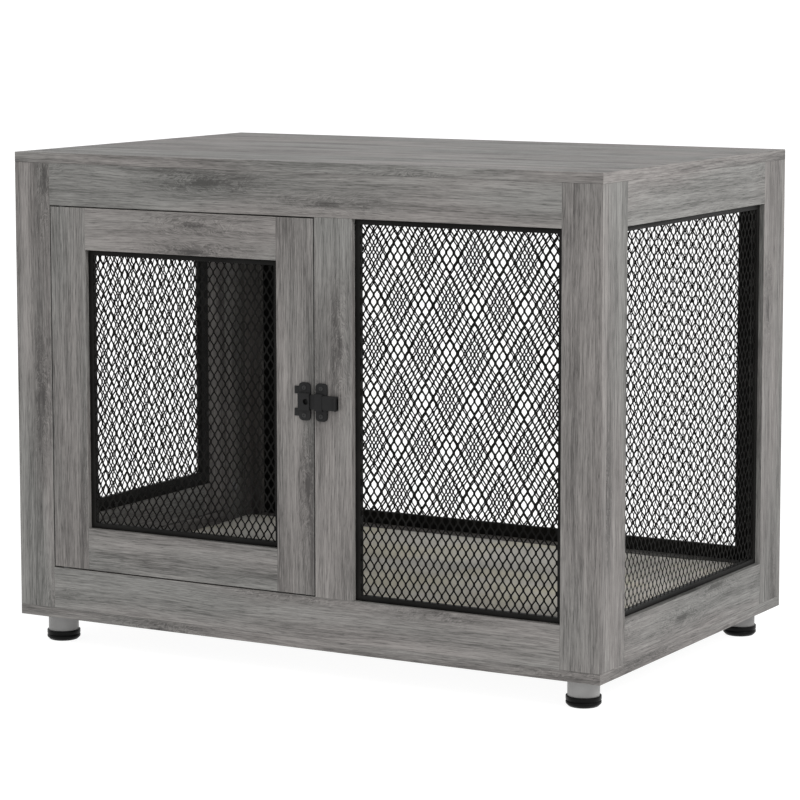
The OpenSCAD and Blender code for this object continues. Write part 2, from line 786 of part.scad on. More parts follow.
// Dowels and cams
module case_dowels() {
    color(beech) on_front() front_dowels();
    color(beech) on_back() back_dowels();
    color(beech) on_left() side_dowels();
    color(beech) on_right() side_dowels();
}
module front_door_dowels() { color(beech) on_front() door_dowels(front_door_bay); }
module side_door_dowels() { color(beech) on_left() door_dowels(side_bay); }
module cam_discs() {
    color(zinc) on_front() rail_cam_discs(case_w);
    color(zinc) on_back() rail_cam_discs(case_w);
    color(zinc) on_left() { rail_cam_discs(case_d); corner_cam_discs(); }
    color(zinc) on_right() { rail_cam_discs(case_d); corner_cam_discs(); }
}
module cam_bolts() {
    color(zinc) on_front() rail_cam_bolts(case_w);
    color(zinc) on_back() rail_cam_bolts(case_w);
    color(zinc) on_left() { rail_cam_bolts(case_d); corner_cam_bolts(); }
    color(zinc) on_right() { rail_cam_bolts(case_d); corner_cam_bolts(); }
}

// Floor pad: crowned top, rounded margins, sides drawn in between the corners, flat underside
pad_half_w = case_w / 2 - board_t - pad_gap;
pad_half_d = case_d / 2 - board_t - pad_gap;
pad_columns = 28;
pad_rows = 18;

// Position of step i out of n across a half width, with its steps crowded into the margins
function pad_step(i, n) =
    let (t = 2 * i / n - 1, side = sign(t), far = abs(t))
    side * (1 - pow(1 - far, 1.7));
function pad_out_x(s, t) = s * (pad_half_w - pad_draw * (1 - t * t));
function pad_out_y(s, t) = t * (pad_half_d - pad_draw * (1 - s * s));
function pad_fall(inner) = inner >= pad_margin ? 1 : sqrt(1 - pow(1 - inner / pad_margin, 2));
function pad_top(s, t) =
    pad_seam_h
        + (pad_h - pad_crown - pad_seam_h)
        * pad_fall((1 - abs(s)) * pad_half_w) * pad_fall((1 - abs(t)) * pad_half_d)
        + pad_crown * (1 - s * s) * (1 - t * t);

pad_grid = [
    for (j = [0 : pad_rows]) for (i = [0 : pad_columns])
        let (s = pad_step(i, pad_columns), t = pad_step(j, pad_rows))
        [pad_out_x(s, t), pad_out_y(s, t), pad_top(s, t)]
];
function pad_index(i, j) = j * (pad_columns + 1) + i;
// Grid indexes once round the outline, anticlockwise seen from above
pad_ring = concat(
    [for (i = [0 : pad_columns - 1]) pad_index(i, 0)],
    [for (j = [0 : pad_rows - 1]) pad_index(pad_columns, j)],
    [for (i = [pad_columns : -1 : 1]) pad_index(i, pad_rows)],
    [for (j = [pad_rows : -1 : 1]) pad_index(0, j)]
);
function pad_side(k, z, out) =
    let (p = pad_grid[pad_ring[k]], l = norm([p[0], p[1]]))
    [p[0] + out * sign(p[0]) * min(1, abs(p[0]) / pad_half_w),
     p[1] + out * sign(p[1]) * min(1, abs(p[1]) / pad_half_d), z];

module floor_pad() {
    count = len(pad_ring);
    grid_count = len(pad_grid);
    levels = [[pad_seam_h / 2, pad_bulge], [pad_foot_h, pad_bulge / 2], [0, -pad_foot_in]];
    sides = [for (level = levels) for (k = [0 : count - 1]) pad_side(k, level[0], level[1])];
    function ring_at(level, k) =
        level == 0 ? pad_ring[k % count] : grid_count + (level - 1) * count + k % count;
    top_faces = [
        for (j = [0 : pad_rows - 1]) for (i = [0 : pad_columns - 1])
            for (face = [
                [pad_index(i, j), pad_index(i, j + 1), pad_index(i + 1, j + 1)],
                [pad_index(i, j), pad_index(i + 1, j + 1), pad_index(i + 1, j)]
            ]) face
    ];
    side_faces = [
        for (level = [0 : len(levels) - 1]) for (k = [0 : count - 1])
            for (face = [
                [ring_at(level, k), ring_at(level, k + 1), ring_at(level + 1, k + 1)],
                [ring_at(level, k), ring_at(level + 1, k + 1), ring_at(level + 1, k)]
            ]) face
    ];
    underside = [[for (k = [0 : count - 1]) ring_at(len(levels), k)]];
    color(cloth) at_origin() translate([case_w / 2, case_d / 2, board_t])
        polyhedron(points = concat(pad_grid, sides), faces = concat(top_faces, side_faces, underside));
}

top_board();
base_board();
front_left_post();
front_right_post();
front_top_rail();
front_bottom_rail();
front_centre_stile();
right_front_stile();
right_rear_stile();
right_top_rail();
right_bottom_rail();
left_front_stile();
left_rear_stile();
left_top_rail();
left_bottom_rail();
back_left_post();
back_right_post();
back_top_rail();
back_bottom_rail();
front_door_hinge_stile();
front_door_latch_stile();
front_door_top_rail();
front_door_bottom_rail();
side_door_hinge_stile();
side_door_latch_stile();
side_door_top_rail();
side_door_bottom_rail();
front_window_frame();
front_window_mesh();
right_window_frame();
right_window_mesh();
back_window_frame();
back_window_mesh();
front_door_mesh_frame();
front_door_mesh();
side_door_mesh_frame();
side_door_mesh();
front_hinge_pins();
side_hinge_pins();
hinge_bushes();
bolt_guides();
front_slide_bolt();
side_slide_bolt();
front_bolt_keeper();
side_bolt_keeper();
case_screws();
front_door_screws();
side_door_screws();
foot_tubes();
front_left_glide();
front_right_glide();
rear_left_glide();
rear_right_glide();
foot_screws();
case_dowels();
front_door_dowels();
side_door_dowels();
cam_discs();
cam_bolts();
floor_pad();
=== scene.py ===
import json
from math import cos, pi, radians, sin

import bmesh
import bpy
from bmesh.types import BMEdge, BMVert
from bpy.props import FloatProperty, FloatVectorProperty, IntProperty, PointerProperty
from mathutils import Matrix, Vector
from mathutils.bvhtree import BVHTree

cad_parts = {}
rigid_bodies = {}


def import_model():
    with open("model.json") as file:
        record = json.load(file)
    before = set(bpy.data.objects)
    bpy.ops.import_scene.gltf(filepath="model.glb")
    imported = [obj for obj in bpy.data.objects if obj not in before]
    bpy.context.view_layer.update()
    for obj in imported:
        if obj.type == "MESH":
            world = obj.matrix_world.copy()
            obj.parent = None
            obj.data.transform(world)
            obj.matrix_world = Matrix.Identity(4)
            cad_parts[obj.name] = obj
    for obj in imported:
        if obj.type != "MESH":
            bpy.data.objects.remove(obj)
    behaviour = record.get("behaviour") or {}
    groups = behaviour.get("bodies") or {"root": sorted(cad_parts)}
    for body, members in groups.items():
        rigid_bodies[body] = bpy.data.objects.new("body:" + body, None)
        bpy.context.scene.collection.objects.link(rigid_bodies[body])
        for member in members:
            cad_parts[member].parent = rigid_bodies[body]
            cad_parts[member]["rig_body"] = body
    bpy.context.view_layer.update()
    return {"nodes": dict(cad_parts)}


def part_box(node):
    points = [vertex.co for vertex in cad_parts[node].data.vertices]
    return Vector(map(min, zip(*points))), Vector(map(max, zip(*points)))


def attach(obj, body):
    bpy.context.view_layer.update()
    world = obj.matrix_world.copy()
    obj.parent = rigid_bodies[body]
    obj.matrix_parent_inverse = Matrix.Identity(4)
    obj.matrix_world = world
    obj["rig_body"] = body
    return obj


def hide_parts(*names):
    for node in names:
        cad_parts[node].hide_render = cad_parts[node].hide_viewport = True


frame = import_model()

bl_info = {
    "name": "Pet crate",
    "version": (1, 0, 0),
    "blender": (4, 5, 0),
    "location": "3D View > Sidebar > Pet crate",
    "description": "Boards, steel mesh, latches, feet, floor pad and stage of a pet crate",
    "category": "Object",
}

CASE_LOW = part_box("base_board")[0]
CASE_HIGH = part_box("top_board")[1]
BODY_OF = {name: node["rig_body"] for name, node in frame["nodes"].items()}
BOARDS = [name for name in BODY_OF if name.endswith(("board", "post", "stile", "rail"))]
PANELS = {
    "front_window_frame": ("front_window_mesh", "front"),
    "right_window_frame": ("right_window_mesh", "right"),
    "back_window_frame": ("back_window_mesh", "back"),
    "front_door_mesh_frame": ("front_door_mesh", "front"),
    "side_door_mesh_frame": ("side_door_mesh", "left"),
}
# How much lighter or darker each board is than the rest, as a share of the print's whole range: partly
# the print's own tone, partly painted light and shade
BOARD_SHADE = {
    "front_door_top_rail": 0.15, "front_bottom_rail": 0.11, "front_centre_stile": 0.08,
    "front_top_rail": 0.04, "right_top_rail": 0.06, "front_door_latch_stile": -0.05,
    "right_rear_stile": -0.03,
}
# From each panel's middle to the nearest hole's middle, to the right seen from outside and upwards
NET_SHIFT = {
    "front_window_mesh": (0.0003, -0.0052),
    "right_window_mesh": (0.0046, 0.0055),
    "back_window_mesh": (0.0036, 0.0051),
    "front_door_mesh": (0.0017, 0.0019),
    "side_door_mesh": (0.0042, -0.0082),
}
GLIDES = ["front_left_glide", "front_right_glide", "rear_left_glide", "rear_right_glide"]


# Places: each wall's own frame has x to the right seen from outside, y inwards and z up

def wall_place(x, y, quarter_turns):
    """Turn and shift from a wall's own frame to the crate's."""
    return Matrix.Translation((x, y, CASE_LOW.z)) @ Matrix.Rotation(quarter_turns * pi / 2, 4, "Z")


WALLS = {
    "front": wall_place(CASE_LOW.x, CASE_LOW.y, 0),
    "right": wall_place(CASE_HIGH.x, CASE_LOW.y, 1),
    "back": wall_place(CASE_HIGH.x, CASE_HIGH.y, 2),
    "left": wall_place(CASE_LOW.x, CASE_HIGH.y, -1),
}


def corners(points):
    """Lowest and highest corners of some points."""
    return Vector(map(min, *points)), Vector(map(max, *points))


def box_in_wall(wall, node):
    """Lowest and highest corners of a CAD node in its wall's own frame."""
    back = WALLS[wall].inverted()
    return corners([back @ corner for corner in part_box(node)])


def solids_of(node):
    """Points of each separate solid of a CAD node."""
    copy = bmesh.new()
    copy.from_mesh(frame["nodes"][node].data)
    bmesh.ops.remove_doubles(copy, verts=copy.verts, dist=1e-6)
    waiting = set(copy.verts)
    solids = []
    while waiting:
        front = [waiting.pop()]
        points = []
        while front:
            vert = front.pop()
            points.append(vert.co.copy())
            for edge in vert.link_edges:
                other = edge.other_vert(vert)
                if other in waiting:
                    waiting.remove(other)
                    front.append(other)
        solids.append(points)
    copy.free()
    return sorted(solids, key=lambda points: [round(x, 4) for x in sum(points, Vector()) / len(points)])


def facing(points, axis, sign, sunk=0.0):
    """Place on the side of a solid that an axis and a sign name, sunk into it, with z pointing out."""
    low, high = corners(points)
    spot = (low + high) / 2
    spot[axis] = (high if sign > 0 else low)[axis] - sunk * sign
    outwards = Vector((0, 0, 0))
    outwards[axis] = sign
    return Matrix.Translation(spot) @ outwards.to_track_quat("Z", "Y").to_matrix().to_4x4()


# Shapes

SHARP = radians(35)
UPRIGHT = Matrix.Rotation(pi / 2, 4, "X")


def as_mesh(name, bm, place=None):
    """Moves a shape to its place, turns it into a mesh and frees it."""
    if place is not None:
        bm.transform(place)
    mesh = bpy.data.meshes.new(name)
    bm.to_mesh(mesh)
    bm.free()
    return mesh


def merge(bm, part, place=None):
    """Moves a shape to its place, adds it to another and frees it."""
    mesh = as_mesh("part", part, place)
    bm.from_mesh(mesh)
    bpy.data.meshes.remove(mesh)


def everything(bm):
    return bm.verts[:] + bm.edges[:] + bm.faces[:]


def of_kind(made, kind):
    """What an operator made of one kind: vertices or edges."""
    return [item for item in made["geom"] if isinstance(item, kind)]


def round_off(bm, edges, width, segments):
    """Rounds some edges."""
    bmesh.ops.bevel(bm, geom=edges, offset=width, offset_type="OFFSET", segments=segments,
                    profile=0.5, affect="EDGES", clamp_overlap=True, material=-1)


def soften(bm, width, segments=2):
    """Rounds every sharp edge."""
    sharp = [e for e in bm.edges if len(e.link_faces) == 2 and e.calc_face_angle() > SHARP]
    round_off(bm, sharp, width, segments)


def block(middle, size):
    """Box of a size round a point."""
    part = bmesh.new()
    bmesh.ops.create_cube(part, size=1.0, matrix=Matrix.Translation(middle) @ Matrix.Diagonal((*size, 1)))
    return part


def bar(left, right, low, high, near, far, corner, edge):
    """Flat bar between two depths, with rounded corners unless that is 0, and softened edges."""
    part = block(((left + right) / 2, (near + far) / 2, (low + high) / 2),
                 (right - left, far - near, high - low))
    if corner:
        deep = [e for e in part.edges if abs(e.verts[0].co.y - e.verts[1].co.y) > (far - near) / 2]
        round_off(part, deep, corner, 6)
    soften(part, edge)
    return part


def cut(part, point, normal):
    """Cuts away what lies past a plane and closes the cut."""
    bmesh.ops.bisect_plane(part, geom=everything(part), dist=1e-7,
                           plane_co=point, plane_no=normal, clear_outer=True)
    bmesh.ops.holes_fill(part, edges=[e for e in part.edges if e.is_boundary], sides=0)


def turned(profile, steps):
    """Solid of revolution about z from points (radius, height)."""
    part = bmesh.new()
    points = [part.verts.new((radius, 0, height)) for radius, height in profile]
    edges = [part.edges.new(pair) for pair in zip(points, points[1:])]
    bmesh.ops.spin(part, geom=points + edges, cent=(0, 0, 0), axis=(0, 0, 1), angle=2 * pi,
                   steps=steps, use_merge=True)
    bmesh.ops.remove_doubles(part, verts=part.verts, dist=1e-6)
    bmesh.ops.recalc_face_normals(part, faces=part.faces)
    return part


def upright_face(left, right, low, high, depth):
    """One face across y."""
    part = bmesh.new()
    place = (Matrix.Translation(((left + right) / 2, depth, (low + high) / 2))
             @ UPRIGHT @ Matrix.Diagonal((right - left, high - low, 1, 1)))
    bmesh.ops.create_grid(part, x_segments=1, y_segments=1, size=0.5, matrix=place)
    return part


def thicken(part, depth):
    """Gives every face a thickness along y."""
    grown = bmesh.ops.extrude_face_region(part, geom=part.faces[:])
    bmesh.ops.translate(part, verts=of_kind(grown, BMVert), vec=(0, depth, 0))
    bmesh.ops.recalc_face_normals(part, faces=part.faces)


def ring(area, inset, near, far):
    """Flat ring inside an area (left, right, low, high) between two depths."""
    part = upright_face(*area, near)
    inner = part.faces[:]
    bmesh.ops.inset_region(part, faces=inner, thickness=inset, use_even_offset=True, use_boundary=True)
    bmesh.ops.delete(part, geom=inner, context="FACES")
    thicken(part, far - near)
    return part


def put(name, data):
    """Makes an object and puts it in the scene."""
    item = bpy.data.objects.new(name, data)
    bpy.context.scene.collection.objects.link(item)
    return item


def add_piece(name, bm, material, body, stands_for=(), place=None, smooth=None):
    """Makes an object of a shape, which rides on a body and stands for CAD nodes."""
    mesh = as_mesh(name, bm, place)
    mesh.materials.append(material)
    if smooth is not None:
        mesh.shade_smooth()
        mesh.set_sharp_from_angle(angle=radians(smooth))
    piece = put(name, mesh)
    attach(piece, body)
    if stands_for:
        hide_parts(*stands_for)
    return piece


def stand_in(node, stuff, bm, material, place=None, smooth=None):
    """Makes the piece that stands for one CAD node, on that node's body."""
    return add_piece(node + "_" + stuff, bm, material, BODY_OF[node], [node], place, smooth)


# Materials

class Recipe:
    """A material's node tree, built one node at a time."""

    def __init__(self, name, dimensions="3D"):
        self.dimensions = dimensions
        self.material = bpy.data.materials.new(name)
        self.material.use_nodes = True
        self.tree = self.material.node_tree
        self.tree.nodes.clear()

    def add(self, kind, settings=None, sockets=None):
        """Adds a node; a socket's value is a number, a colour or another node's output."""
        node = self.tree.nodes.new("ShaderNode" + kind)
        for key, value in (settings or {}).items():
            setattr(node, key, value)
        for key, value in (sockets or {}).items():
            if isinstance(value, bpy.types.NodeSocket):
                self.tree.links.new(value, node.inputs[key])
            else:
                node.inputs[key].default_value = value
        return node

    def math(self, kind, first, second=0.0, third=0.0):
        return self.add("Math", {"operation": kind}, {0: first, 1: second, 2: third}).outputs[0]

    def vector_math(self, kind, first, second):
        return self.add("VectorMath", {"operation": kind}, {0: first, 1: second}).outputs[0]

    def vector(self, x, y):
        return self.add("CombineXYZ", None, {"X": x, "Y": y}).outputs[0]

    def times(self, first, second):
        return self.math("MULTIPLY", first, second)

    def weigh(self, value, weight, base):
        """Adds a weighted value to a base."""
        return self.math("MULTIPLY_ADD", value, weight, base)

    def sway(self, value, weight, base):
        """Adds a weighted noise to a base, as its distance from a half."""
        return self.weigh(self.math("SUBTRACT", value, 0.5), weight, base)

    def clamp_range(self, value, low, high, to_low=0.0, to_high=1.0):
        """Smooth step from one range to another."""
        return self.add("MapRange", {"interpolation_type": "SMOOTHSTEP"}, {
            "Value": value, "From Min": low, "From Max": high, "To Min": to_low, "To Max": to_high,
        }).outputs[0]

    def stretched(self, vector, scale, shift=(0, 0, 0)):
        return self.add("Mapping", None, {"Vector": vector, "Scale": scale, "Location": shift}).outputs[0]

    def noise(self, vector, scale, detail=2.0, roughness=0.5, shift=(0, 0, 0)):
        return self.add("TexNoise", {"noise_dimensions": self.dimensions}, {
            "Vector": self.stretched(vector, scale, shift), "Scale": 1.0, "Detail": detail,
            "Roughness": roughness,
        }).outputs["Fac"]

    def mix(self, factor, first, second):
        """Mix of two colours."""
        return self.add("Mix", {"data_type": "RGBA"}, {0: factor, 6: first, 7: second}).outputs[2]

    def finish(self, sockets, height=None, distance=0.0):
        """Closes the recipe with the main shader, with bumps if a height is given."""
        if height is not None:
            bump = self.add("Bump", None, {"Height": height, "Distance": distance, "Strength": 1.0})
            sockets["Normal"] = bump.outputs[0]
        shader = self.add("BsdfPrincipled", None, sockets)
        self.add("OutputMaterial", None, {"Surface": shader.outputs[0]})
        return self.material


def colour(values):
    return (*values, 1.0)


def oak_laminate(tones):
    """Weathered grey oak print in two greys: straight grain, and feathered flames round dark knots."""
    recipe = Recipe("OakLaminate", "2D")
    grain = recipe.add("UVMap", {"uv_map": "Grain"}).outputs["UV"]

    # Flames: at most one in each cell, and not in every cell, with a knot in its middle
    cell = (3.1, 15, 1)
    spread = recipe.stretched(grain, cell)
    spots = recipe.add("TexVoronoi", {"voronoi_dimensions": "2D", "feature": "F1"}, {
        "Vector": spread, "Scale": 1.0, "Randomness": 0.9}).outputs
    chance = recipe.add("SeparateColor", None, {0: spots["Color"]}).outputs
    there = recipe.clamp_range(chance[0], 0.30, 0.45)
    away = recipe.vector_math("SUBTRACT", spread, spots["Position"])
    away = recipe.vector_math("DIVIDE", away, cell)
    parts = recipe.add("SeparateXYZ", None, {0: away}).outputs
    along, across = parts[0], parts[1]
    wide = recipe.clamp_range(recipe.math("ABSOLUTE", across), 0.028, 0.008)
    tall = recipe.clamp_range(recipe.math("ABSOLUTE", along), 0.15, 0.03)
    figure = recipe.times(recipe.times(wide, tall), there)
    heading = recipe.math("SIGN", recipe.math("SUBTRACT", chance[1], 0.5))
    ripple = recipe.noise(grain, (26, 75, 1), 2.0, 0.55, shift=(3, 5, 0))
    arch = recipe.weigh(recipe.times(across, across), 110.0, recipe.times(along, heading))
    arch = recipe.sway(ripple, 0.045, arch)
    feather = recipe.noise(recipe.vector(arch, across), (260, 190, 1), 3.0, 0.65)
    reach = recipe.add("VectorMath", {"operation": "LENGTH"},
                       {0: recipe.vector(recipe.times(along, 0.2), across)}).outputs["Value"]
    knot = recipe.times(recipe.clamp_range(reach, 0.0065, 0.001), there)

    # Straight grain, which wanders a little: bands, streaks, fibres and pores
    wander = recipe.sway(recipe.noise(grain, (2.0, 10, 1), 2.0, 0.5), 0.016, 0.0)
    lines = recipe.vector_math("ADD", grain, recipe.vector(0.0, wander))
    bands = recipe.noise(lines, (2.2, 45, 1), 2.0, 0.6)
    streaks = recipe.noise(lines, (11, 420, 1), 3.0, 0.62)
    fibres = recipe.noise(lines, (34, 950, 1), 3.0, 0.75)
    pores = recipe.clamp_range(recipe.noise(lines, (42, 800, 1), 2.0, 0.6), 0.60, 0.72)

    # Tone from dark to pale
    calm = recipe.weigh(figure, -0.75, 1.0)
    tone = recipe.sway(streaks, recipe.times(calm, 0.85), 0.5)
    tone = recipe.sway(feather, recipe.times(figure, 1.15), tone)
    for noise, weight in ((fibres, 1.05), (bands, 0.85)):
        tone = recipe.sway(noise, weight, tone)
    for mark, weight in ((pores, -0.26), (figure, -0.16), (knot, -0.4)):
        tone = recipe.weigh(mark, weight, tone)
    # Each board's lift or drop in tone: partly its print's own tone, partly painted light and shade
    tone = recipe.math("ADD", tone, recipe.add("Attribute", {"attribute_name": "Shade"}).outputs["Fac"])

    patch = recipe.noise(lines, (1.6, 8, 1), 2.0, shift=(7, 2, 0))
    patch = recipe.clamp_range(patch, 0.36, 0.64)
    dark = recipe.mix(patch, colour(tones.dark_cool), colour(tones.dark_warm))
    pale = recipe.mix(patch, colour(tones.pale_cool), colour(tones.pale_warm))
    print_colour = recipe.mix(recipe.clamp_range(tone, -0.1, 1.1), dark, pale)
    gloss = recipe.clamp_range(streaks, 0.3, 0.7, 0.66, 0.54)
    height = recipe.weigh(pores, -0.6, fibres)
    return recipe.finish({"Base Color": print_colour, "Roughness": gloss, "Specular IOR Level": 0.3},
                         height, 0.0001)


def two_toned(name, tones, grain, cloud, spread, gloss, bump, shader):
    """A grain in gloss and bumps (weight, distance), over soft clouds of two tones."""
    recipe = Recipe(name)
    place = recipe.add("TexCoord").outputs["Object"]
    grain = recipe.noise(place, *grain)
    cloud = recipe.noise(place, (cloud, cloud, cloud))
    if spread:
        cloud = recipe.clamp_range(cloud, *spread)
    paint = recipe.mix(cloud, *map(colour, tones))
    gloss = recipe.clamp_range(grain, 0.3, 0.7, *gloss)
    return recipe.finish({"Base Color": paint, "Roughness": gloss, **shader},
                         recipe.times(grain, bump[0]), bump[1])


def paler(tone, times):
    return tuple(min(1.0, x * times + 0.002) for x in tone)


def coated_steel(name, tone, roughness, shine, grit=0.5):
    """Powder coat: fine orange peel, slight variation in gloss and tone."""
    return two_toned(name, (tone, paler(tone, 1.5)), ((900, 900, 900), 3.0, 0.6), 14, (0.35, 0.7),
                     (roughness - 0.06, roughness + 0.06), (grit, 0.0001), {"Specular IOR Level": shine})


def turned_metal(name, tone, roughness):
    """Bare or plated metal with fine tool marks round z."""
    dull = tuple(x * 0.82 for x in tone)
    return two_toned(name, (tone, dull), ((60, 60, 2600), 3.0, 0.6), 35, (0.35, 0.7),
                     (roughness - 0.07, roughness + 0.09), (1.0, 0.00004), {"Metallic": 1.0})


def moulded_plastic(name, tone, roughness, shine=0.5):
    """Moulded plastic with a fine spark-eroded grain."""
    return two_toned(name, (tone, paler(tone, 1.25)), ((1400, 1400, 1400), 2.0, 0.5), 50, None,
                     (roughness - 0.08, roughness + 0.08), (1.0, 0.00006), {"Specular IOR Level": shine})


def beech_wood():
    """Pale turned dowel wood with short rays."""
    recipe = Recipe("BeechWood")
    place = recipe.add("TexCoord").outputs["Object"]
    rays = recipe.noise(place, (700, 700, 160), 4.0, 0.7)
    cloud = recipe.noise(place, (60, 60, 60), 2.0, 0.5)
    tone = recipe.weigh(rays, 0.6, recipe.times(cloud, 0.4))
    wood = recipe.mix(recipe.clamp_range(tone, 0.3, 0.7), (0.42, 0.27, 0.14, 1), (0.66, 0.47, 0.28, 1))
    return recipe.finish({"Base Color": wood, "Roughness": recipe.clamp_range(rays, 0.3, 0.7, 0.6, 0.75)},
                         rays, 0.0001)


def pad_cloth(tone):
    """Plain woven cover: crossing threads, slubs, a little fuzz, soft soiling and large soft clouds of
    painted shade.
    """
    recipe = Recipe("PadCloth")
    place = recipe.add("TexCoord").outputs["Object"]
    wobble = recipe.noise(place, (90, 90, 90), 2.0, 0.5)
    axes = recipe.add("SeparateXYZ", None, {0: place})
    threads = []
    for axis, other in (("X", "Y"), ("Y", "X")):
        run = recipe.weigh(wobble, 1.2, recipe.times(axes.outputs[axis], 4200.0))
        turn = recipe.times(axes.outputs[other], 2100.0)
        threads.append(recipe.times(recipe.math("SINE", run), recipe.math("COSINE", turn)))
    weave = recipe.weigh(recipe.math("MAXIMUM", *threads), 0.5, 0.5)
    slub = recipe.noise(place, (240, 30, 200), 3.0, 0.6)
    # Large soft clouds that steer the painted shade below
    cloud = recipe.noise(place, (4, 7, 5), 2.0, 0.45, shift=(0.3, 0.1, 0))
    light = recipe.weigh(weave, 0.3, recipe.times(slub, 0.3))
    stain = recipe.noise(place, (8, 11, 5), 2.0, 0.45, shift=(0.7, 0.2, 0))
    dull = tuple(x * 0.8 for x in tone)
    stained = (tone[0] * 0.9, tone[1] * 0.87, tone[2] * 0.7)
    cloth = recipe.mix(recipe.clamp_range(light, 0.1, 0.6), colour(dull), colour(tone))
    cloth = recipe.mix(recipe.clamp_range(stain, 0.45, 0.7, 0.0, 0.8), cloth, colour(stained))
    # Painted shade: the cloth darkens towards black in large soft clouds
    painted_shade = recipe.clamp_range(cloud, 0.34, 0.62, 0.6, 1.0)
    cloth = recipe.mix(painted_shade, (0, 0, 0, 1), cloth)
    height = recipe.weigh(slub, 0.5, weave)
    return recipe.finish({"Base Color": cloth, "Roughness": recipe.clamp_range(weave, 0, 1, 0.95, 0.85),
                          "Sheen Weight": 0.25, "Sheen Roughness": 0.5}, height, 0.0003)


# Settings

def amount(name, about, value, **more):
    return FloatProperty(name=name, description=about, default=value, **more)


def length(name, about, value, low=0.0):
    return amount(name, about, value, min=low, unit="LENGTH", precision=5)


def amounts(name, about, values, **more):
    return FloatVectorProperty(name=name, description=about, default=values, size=len(values), **more)


def paint(name, about, values):
    return amounts(name, about, values, min=0, max=1, subtype="COLOR")


def location(name, about, values):
    return amounts(name, about, values, subtype="TRANSLATION", unit="LENGTH")


class CrateBoardSettings(bpy.types.PropertyGroup):
    edge: length("Edge rounding", "Rounding of the boards' edges", 0.0004)
    dark_cool: paint("Dark cool grey", "Darkest tone of the cool patches", (0.049, 0.048, 0.045))
    dark_warm: paint("Dark warm grey", "Darkest tone of the warm patches", (0.051, 0.047, 0.045))
    pale_cool: paint("Pale cool grey", "Lightest tone of the cool patches", (0.243, 0.239, 0.228))
    pale_warm: paint("Pale warm grey", "Lightest tone of the warm patches", (0.257, 0.241, 0.230))


class CrateMeshSettings(bpy.types.PropertyGroup):
    pitch_w: length("Pitch across", "Width of one diamond", 0.01275, 0.004)
    pitch_h: length("Pitch upwards", "Height of one diamond", 0.0213, 0.006)
    strand: length("Strand width", "Width of one strand", 0.0023, 0.0005)
    bond: length("Bond", "Length of the joint where strands meet", 0.0024, 0.0005)
    strand_t: length("Strand thickness", "Thickness of a strand in its middle", 0.0012, 0.0003)
    lean: length("Strand lean", "Depth by which the side door's strands lean", 0.0003)
    edge: length("Frame edge", "Rounding of the steel frames' edges", 0.0005)
    steel: paint("Frame colour", "Colour of the coated steel", (0.0042, 0.004, 0.0036))


class CrateLatchSettings(bpy.types.PropertyGroup):
    height: length("Latch height", "Height of the bolts' middle over the case's underside", 0.3555)
    plate_w: length("Plate width", "Width of the latch plates", 0.0185)
    plate_h: length("Plate height", "Height of the latch plates", 0.054)
    plate_t: length("Plate thickness", "Thickness of the latch plates", 0.0035)
    plate_r: length("Plate corners", "Radius of the plates' corners", 0.006)
    bolt_h: length("Bolt height", "Height of the sliding bolt", 0.0206)
    slot_h: length("Bolt slot", "Height of the slot between the bolt's prongs", 0.0134)
    bolt_t: length("Bolt thickness", "Thickness of the sliding bolt", 0.003)
    strap_t: length("Strap wall", "Wall of the straps round the bolt", 0.0017)
    eye_d: length("Eye", "Diameter of the hole in the door's strap", 0.0085)
    steel: paint("Latch colour", "Colour of the latches", (0.008, 0.008, 0.0082))


class CrateFootSettings(bpy.types.PropertyGroup):
    steps: IntProperty(name="Steps", description="Segments round a foot", default=64, min=16)
    tube: paint("Tube colour", "Colour of the feet's tubes", (0.188, 0.186, 0.183))
    glide: paint("Glide colour", "Colour of the glides", (0.0025, 0.0025, 0.0025))


class CratePadSettings(bpy.types.PropertyGroup):
    voxel: length("Voxel", "Size of the pad's mesh before its last subdivision", 0.007, 0.004)
    pressure: amount("Pressure", "Pressure that puffs the pad", 4.0)
    frames: IntProperty(name="Frames", description="Frames that the puffing takes", default=20, min=1)
    cap: length("Movement", "Most that a point of the pad may move", 0.006)
    piping: length("Piping", "Radius of the cord in the pad's top seam", 0.0017, 0.0005)
    seam_drop: length("Seam", "Distance from the pad's top down to its seam", 0.0085, 0.002)
    cloth: paint("Cloth colour", "Colour of the cover", (0.57, 0.54, 0.478))


class CrateStageSettings(bpy.types.PropertyGroup):
    eye: location("Camera", "Place of the camera", (2.2973, -4.0051, 1.0045))
    turn: amount("Turn", "Camera's turn to the left", radians(29.47), subtype="ANGLE")
    tilt: amount("Tilt", "Camera's tilt down", radians(6.84), subtype="ANGLE")
    lens: amount("Lens", "Focal length in millimetres", 140.15)
    shift: amounts("Shift", "Shift of the frame", (-0.0281, -0.0756))
    sky: amount("Sky", "Strength of the soft light all round", 1.15)
    zenith: amount("Zenith", "Strength of the soft light from straight above", 0.78)
    key: amount("Key light", "Strength of the light from the right", 1.4)
    key_place: location("Key place", "Place of that light", (3.8, -1.4, 3.2))
    paper: amount("Paper", "Glow of the floor paper", 0.92)


# Operators

class CRATE_OT_boards(bpy.types.Operator):
    """Makes every wooden board with its grain laid along it"""
    bl_idname = "crate.boards"
    bl_label = "Boards"

    def execute(self, context):
        settings = context.scene.crate_boards
        oak = oak_laminate(settings)
        for number, node in enumerate(BOARDS):
            low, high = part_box(node)
            size = high - low
            bm = block((low + high) / 2, size)
            soften(bm, settings.edge, 1)
            lay_grain(bm, size, grain_axis(node), number)
            # Each board's lift or drop in tone: partly its print's own tone, partly painted light and
            # shade
            shade = bm.faces.layers.float.new("Shade")
            for face in bm.faces:
                face[shade] = BOARD_SHADE.get(node, 0.0)
            stand_in(node, "oak", bm, oak)
        return {"FINISHED"}


def grain_axis(node):
    """The grain runs up the uprights and along everything else."""
    if node.endswith(("post", "stile")):
        return 2
    return 1 if node.startswith(("left", "right", "side")) else 0


# Steps in metres that give each board, side and axis another part of the print
BOARD_STEP = (1.713, 0.291)
BACK_STEP, AXIS_STEP = 0.37, 0.11


